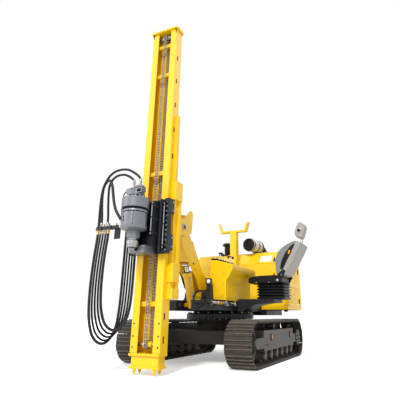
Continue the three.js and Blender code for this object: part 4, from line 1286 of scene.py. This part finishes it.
def lower_drum(lower):
    """The gearbox drum over a hexagonal nose, with two plugs in front and two upright seams, opposite
    each other."""
    lower.turned("z", HEAD_AXIS, LOWER_DRUM, 72)
    lower.turned("z", HEAD_AXIS, [(74, 1612), (80, 1590), (80, 1528), (66, 1502), (54, 1500)], 6, math.pi / 6)
    lower.use(SHADE).turned("z", HEAD_AXIS, [(152, 1806), (152, 1814)], 60)
    for x, z in ((-46, 1742), (-46, 1706)):
        y = HEAD_Y - math.sqrt(150 ** 2 - x ** 2)
        lower.use(SHADE).turned("y", (x, z), [(10, y - 2.5), (10, y + 6)], 16)
        lower.use(HEAD).turned("y", (x, z), [(16, y + 8), (16, y - 2), (11, y - 3), (11, y + 2)], 20)
    for x, y in circle(152, 2, math.radians(-62), HEAD_AXIS):
        lower.use(HEAD).box((x - 8, x + 8), (y - 8, y + 8), (1652, 1804))
        for z in (1680, 1728, 1776):
            lower.use(STEEL).turned("y", (x, z), [(6, y - 12), (6, y - 6)], 6)
    lower.use(STEEL).bolts("z", around_head(106, 12), 1609, 1598, 8)
    for centre in around_head(154 * 0.985, 14):
        lower.turned("z", centre, [(6, 1816), (6, 1832)], 8)


def side_port(lower):
    """The lower side port with its pale elbow, where the front hose ends."""
    lower.use(HEAD).turned("x", (-2455, 1660), [(24, -128), (24, -152), (20, -155)], 20)
    elbow = [(-140, -2455, 1646), (-158, -2456, 1648), (-170, -2458, 1662), (*PORT, 1684), (*PORT, 1726)]
    lower.use(PALE).tube(smooth_path(elbow, 5), 21, 18)
    lower.use(STEEL).turned("z", PORT, [(25, 1716), (25, 1734)], 6)


def drilling_head():
    upper = Shape(HEAD)
    upper_drum(upper)
    motors(upper)
    piece("head_upper_drum", upper, "carriage", 1.2, replaces=["head_upper"])
    lower = Shape(HEAD)
    lower_drum(lower)
    side_port(lower)
    piece("head_lower_drum", lower, "carriage", 1.2, replaces=["head_lower"])
    spindle = Shape(STEEL).turned("z", HEAD_AXIS, SPINDLE, 48)
    spindle.use(BLACK).bolts("z", around_head(60, 6), 1474, 1482, 6)
    piece("spindle_nose", spindle, "spindle", 1, replaces=["spindle"])


carriage_details()
guide_block_trim()
drilling_head()


# ---------------------------------------------------------------- hoses
HOSE_RADIUS = 15
HOSE_SIDES = 12
GUARD_RELIEF = 0.055
LOOPS = 5
LOOP_SPACING = 42.5
LOOP_RISE = 0.028
LOOP_TOP = 1689.7
LOOP_ROUTE = [
    (-690, -2275, 1689.7), (-690, -2275, 1640), (-691, -2276, 1560), (-699, -2281, 1400), (-706, -2285, 1150),
    (-706, -2282, 900), (-700, -2270, 700), (-688, -2250, 560), (-662, -2215, 430), (-625, -2167, 355),
    (-585, -2120, 330), (-545, -2070, 352), (-512, -2022, 430), (-492, -1988, 560), (-483, -1972, 750),
    (-480, -1968, 1000), (-480, -1968, 1300), (-480, -1968, 1600), (-480, -1968, 1860), (-480, -1968, 1924.7),
]
ARC_ROUTE = [
    (-650, -2270, 1735.3), (-650, -2270, 1780), (-652, -2273, 1870), (-660, -2285, 2000), (-655, -2305, 2150),
    (-615, -2335, 2275), (-530, -2365, 2370), (-420, -2392, 2420), (-300, -2410, 2430), (-180, -2422, 2410),
    (-80, -2430, 2360), (0, -2430, 2300), (38, -2430, 2258), (50, -2430, 2222), (50, -2430, 2190.3),
]
DRAIN_ROUTE = [
    (-690, -2275, 1735.4), (-690, -2275, 1800), (-690, -2280, 1903), (-684, -2290, 2030), (-668, -2305, 2150),
    (-630, -2325, 2262), (-565, -2350, 2325), (-485, -2375, 2318), (-425, -2397, 2240), (-385, -2413, 2130),
    (-345, -2428, 2010), (-295, -2443, 1900), (-240, -2453, 1822), (-195, -2458, 1768), (-176, -2459, 1726),
    (-174, -2459, 1700),
]
PILOT_ROUTE = [
    (-300, -2290, 1735), (-300, -2296, 1790), (-286, -2330, 1880), (-250, -2380, 1985), (-205, -2420, 2060),
    (-160, -2440, 2098), (-120, -2450, 2098), (-104, -2450, 2098),
]
SUPPLY_ROUTE = [
    (487, -1304, 810), (487, -1325, 810), (474, -1358, 808), (440, -1384, 803), (395, -1392, 799),
    (345, -1388, 798), (288, -1384, 820), (262, -1380, 878), (286, -1374, 938), (345, -1368, 964),
    (404, -1362, 938), (430, -1356, 880), (414, -1350, 815), (378, -1340, 780), (326, -1320, 766),
    (275, -1285, 770), (236, -1240, 784), (200, -1203, 796),
]
NUT = [(1.05, 0.2), (1.35, 2), (1.35, 16), (1.1, 18)]
FERRULE = [(1.12, 18), (1.22, 20), (1.22, 30), (1.12, 33), (1.22, 36), (1.22, 50), (1.05, 54)]


def hose(name, route, radius, body, finish, replaces=(), wrap=18.0):
    """A hose of round section along a smooth route; wrap is the pitch of its spiral guard, or 0 for none."""
    path = smooth_path(route, wrap / 4 if wrap else 12)
    rings, gone = [], 0.0
    for i, (p, side, up) in enumerate(across(path)):
        gone += (p - path[max(i - 1, 0)]).length
        ring = []
        for k, (u, v) in enumerate(circle(radius, HOSE_SIDES)):
            relief = 0
            if wrap:
                relief = GUARD_RELIEF if (gone / wrap + k / HOSE_SIDES) % 1 < 0.5 else -GUARD_RELIEF
            ring.append(p + (side * u + up * v) * (1 + relief))
        rings.append(ring)
    obj = piece(name, Shape(finish).loft(rings), body, 0, sharp=50, replaces=replaces)
    return obj


def fitting(shape, at, way, finish=STEEL):
    """A nut and a crimped ferrule on a hose's end; way is 1 for a hose that rises, -1 for one that hangs."""
    x, y, z = at
    for profile, sides in ((NUT, 6), (FERRULE, 20)):
        shape.use(finish).turned("z", (x, y), [(HOSE_RADIUS * r, z + way * s) for r, s in profile], sides,
                                 math.pi / 4)


def stub(shape, finish, x, y, z, top):
    """A hexagon union on top of a bar, with a short pipe end."""
    shape.use(finish).turned("z", (x, y), [(17, z), (17, z + 16)], 6)
    shape.turned("z", (x, y), [(13, z + 16), (13, top), (9, top + 4)], 16)


def hose_loops(at_carriage, at_mast):
    """Five hoses in loops between the carriage's bar and the mast's arm; the outer two are guarded."""
    for i in range(LOOPS):
        x = LOOP_SPACING * i
        route = [(rx + x, y, LOOP_TOP - (LOOP_TOP - z) * (1 - LOOP_RISE * i) if z < LOOP_TOP else z)
                 for rx, y, z in LOOP_ROUTE]
        name = f"hose_loop_{i + 1}"
        guarded = i in (0, LOOPS - 1)
        obj = hose(name, route, 16.5 if guarded else 12, None, SLEEVE if guarded else HOSE,
                   [f"{name}_carriage", f"{name}_mast"], wrap=20 if guarded else 0)
        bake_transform(obj)
        fitting(at_carriage, (-690 + x, -2275, 1689.6), -1, STEEL if i % 2 else BRASS)
        fitting(at_mast, (-480 + x, -1968, 1924.6), -1)
        finish = BRASS if i == 3 else STEEL
        if i:
            stub(at_carriage, finish, -690 + x, -2270, 1735.2, 1770)
        stub(at_mast, finish, -480 + x, -1968, 1975.2, 2010)


def hose_arcs(at_carriage):
    """Two wrapped hoses that arch from the carriage's bar over to the head's motors."""
    for i in range(2):
        route = [(-300 + (x + 300) * (1 - 0.2857 * i), y, z - 0.35 * i * max(0, z - 2222))
                 for x, y, z in ARC_ROUTE]
        name = f"hose_arc_{i + 1}"
        hose(name + "_wrapped", route, HOSE_RADIUS, "carriage", SLEEVE, [name])
        fitting(at_carriage, route[0], 1)
        fitting(at_carriage, route[-1], 1)


def bar_fittings(at_carriage):
    """Two capped unions and two clips on the carriage's hose bar."""
    for x in (-400, -610):
        at_carriage.use(BRASS).turned("z", (x, -2275), [(15, 1735), (15, 1747)], 6)
        at_carriage.use(PALE).turned("z", (x, -2275), [(12, 1747), (12, 1769), (9, 1773)], 16)
    for x in (-630, -470):
        at_carriage.use(BLACK).box((x - 8, x + 8), (-2300, -2250), (1686, 1739))


def head_and_loop_hoses():
    at_carriage, at_mast = Shape(STEEL), Shape(STEEL)
    hose_loops(at_carriage, at_mast)
    hose_arcs(at_carriage)
    hose("head_drain_hose", DRAIN_ROUTE, 18, "carriage", SLEEVE, wrap=26)
    bar_fittings(at_carriage)
    hose("head_pilot_hose", PILOT_ROUTE, 7, "carriage", HOSE, wrap=0)
    piece("carriage_hose_ends", at_carriage, "carriage", 0.6)
    piece("mast_hose_ends", at_mast, "mast", 0.6)


VALVE_X, VALVE_Z = 487.3, 810
DECK_EDGE = 465.4
NUT_FROM = 25
UNIONS = (
    (-1304, -1290, 27, STEEL), (-1290, -1130, 21, CHROME), (-1130, -1096, 28, BRASS),
    (-1096, -1030, 22, BRASS), (-1030, -1000, 28, BRASS), (-1000, -960, 22, BRASS), (-960, -884, 27, STEEL),
    (-796, -700, 19, PLASTIC), (-700, -664, 26, STEEL), (-664, -540, 18, CHROME),
)


def valve_line():
    """Steel and brass unions in line along the deck's side, with two valve blocks and two brackets."""
    shape = Shape(CHROME)
    for a, b, r, finish in UNIONS:
        ends, sides = ((a, b), 6) if r > NUT_FROM else ((a - 4, b + 4), 20)
        shape.use(finish).turned("y", (VALVE_X, VALVE_Z), [(r, end) for end in ends], sides)
    for a, b in ((-884, -796), (-544, -500)):
        shape.use(STEEL).box((DECK_EDGE, 514), (a, b), (782, 838))
        shape.use(BRASS).turned("z", (VALVE_X + 4, (a + b) / 2), [(12, 838), (12, 850)], 6)
        shape.use(PLASTIC).bolts("x", [(a + 10, VALVE_Z + 16), (b - 10, VALVE_Z + 16)], 514, 519, 5)
    for y in (-1150, -650):
        shape.use(BLACK).box((DECK_EDGE, 500), (y - 8, y + 8), (794, 828))
    piece("valve_line_unions", shape, "upper", 0.8, replaces=["valve_line"])


def deck_hose():
    """The hose that curls from the valve line's front end, and two clamps on the deck's front face."""
    hose("deck_supply_hose", SUPPLY_ROUTE, 13, "upper", HOSE, wrap=0)
    clamps = Shape(BRASS)
    for x in (200, -60):
        clamps.use(BLACK).box((x - 16, x + 16), (-1214, -1200), (780, 812))
    piece("deck_hose_clamps", clamps, "upper", 0.8)


BOOM_HOSE_WAVES = ((150, 0), (240, 5), (350, 2), (470, 6), (590, 2), (680, 4), (740, 0))


def boom_hoses():
    """Two hoses clamped along the boom, on the side away from the seat."""
    for name, off in (("low", 22), ("high", 48)):
        route = [(-125, *along(BOOM_BASE, BOOM_HEAD, s, off + wave)) for s, wave in BOOM_HOSE_WAVES]
        hose(f"boom_hose_right_{name}", route, 10, "boom", HOSE, wrap=0)
    clamps = Shape(BLACK)
    for s in (205, 450, 690):
        y, z = along(BOOM_BASE, BOOM_HEAD, s, 36)
        clamps.use(BLACK).box((-138, -111.5), (y - 14, y + 14), (z - 34, z + 34))
        clamps.use(STEEL).bolt("x", (y, z), -138, -145, 6)
    piece("boom_hose_clamps", clamps, "boom", 1)


head_and_loop_hoses()
valve_line()
deck_hose()
boom_hoses()


# ---------------------------------------------------------------- floor, light and world
FLOOR_REACH = 60
FLOOR_GLOW = 0.35
WORLD_GLOW = 0.5
PLAIN_WHITE = (1, 1, 1, 1)
SUNS = (("key", 2.5, 10, 50, 12), ("fill", 0.7, 40, 65, -50), ("back", 0.6, 40, 50, 170))


def floor_material():
    """A matt near-white that also glows a little to the camera."""
    made, tree, shader = new_material("floor")
    fill(tree, shader, {"Base Color": (0.9, 0.9, 0.9, 1), "Roughness": 0.9, "Specular IOR Level": 0.1})
    seen = add_node(tree, "LightPath").outputs["Is Camera Ray"]
    share = add_node(tree, "Math", {0: seen, 1: FLOOR_GLOW}, operation="MULTIPLY").outputs[0]
    glow = add_node(tree, "Emission", {"Color": PLAIN_WHITE, "Strength": share}).outputs[0]
    both = add_node(tree, "AddShader", {0: shader.outputs[0], 1: glow}).outputs[0]
    tree.links.new(both, tree.nodes["Material Output"].inputs["Surface"])
    return made


def make_floor():
    mesh = bpy.data.meshes.new("floor")
    corners = [(u * FLOOR_REACH, v * FLOOR_REACH, 0) for u, v in ((-1, -1), (1, -1), (1, 1), (-1, 1))]
    mesh.from_pydata(corners, [], [(0, 1, 2, 3)])
    floor = add_object("floor", mesh)
    mesh.materials.append(floor_material())


def make_world():
    """White wherever it is seen directly, reflected or through something, and dimmer as a light."""
    world = bpy.data.worlds.new("studio")
    bpy.context.scene.world = world
    world.use_nodes = True
    tree = world.node_tree
    tree.nodes.clear()
    rays = add_node(tree, "LightPath").outputs
    seen = rays["Is Camera Ray"]
    for name in ("Is Glossy Ray", "Is Transmission Ray"):
        seen = add_node(tree, "Math", {0: seen, 1: rays[name]}, operation="MAXIMUM").outputs[0]
    soft = add_node(tree, "Background", {"Color": PLAIN_WHITE, "Strength": WORLD_GLOW}).outputs[0]
    plain = add_node(tree, "Background", {"Color": PLAIN_WHITE, "Strength": 1.0}).outputs[0]
    mix = add_node(tree, "MixShader", {0: seen, 1: soft, 2: plain}).outputs[0]
    add_node(tree, "OutputWorld", {"Surface": mix})


def make_suns():
    for name, strength, angle, pitch, yaw in SUNS:
        data = bpy.data.lights.new(name, "SUN")
        data.energy = strength
        data.angle = math.radians(angle)
        add_object(name, data).rotation_euler = (math.radians(pitch), 0, math.radians(yaw))


make_floor()
make_world()
make_suns()
bpy.context.scene.view_settings.view_transform = "Standard"
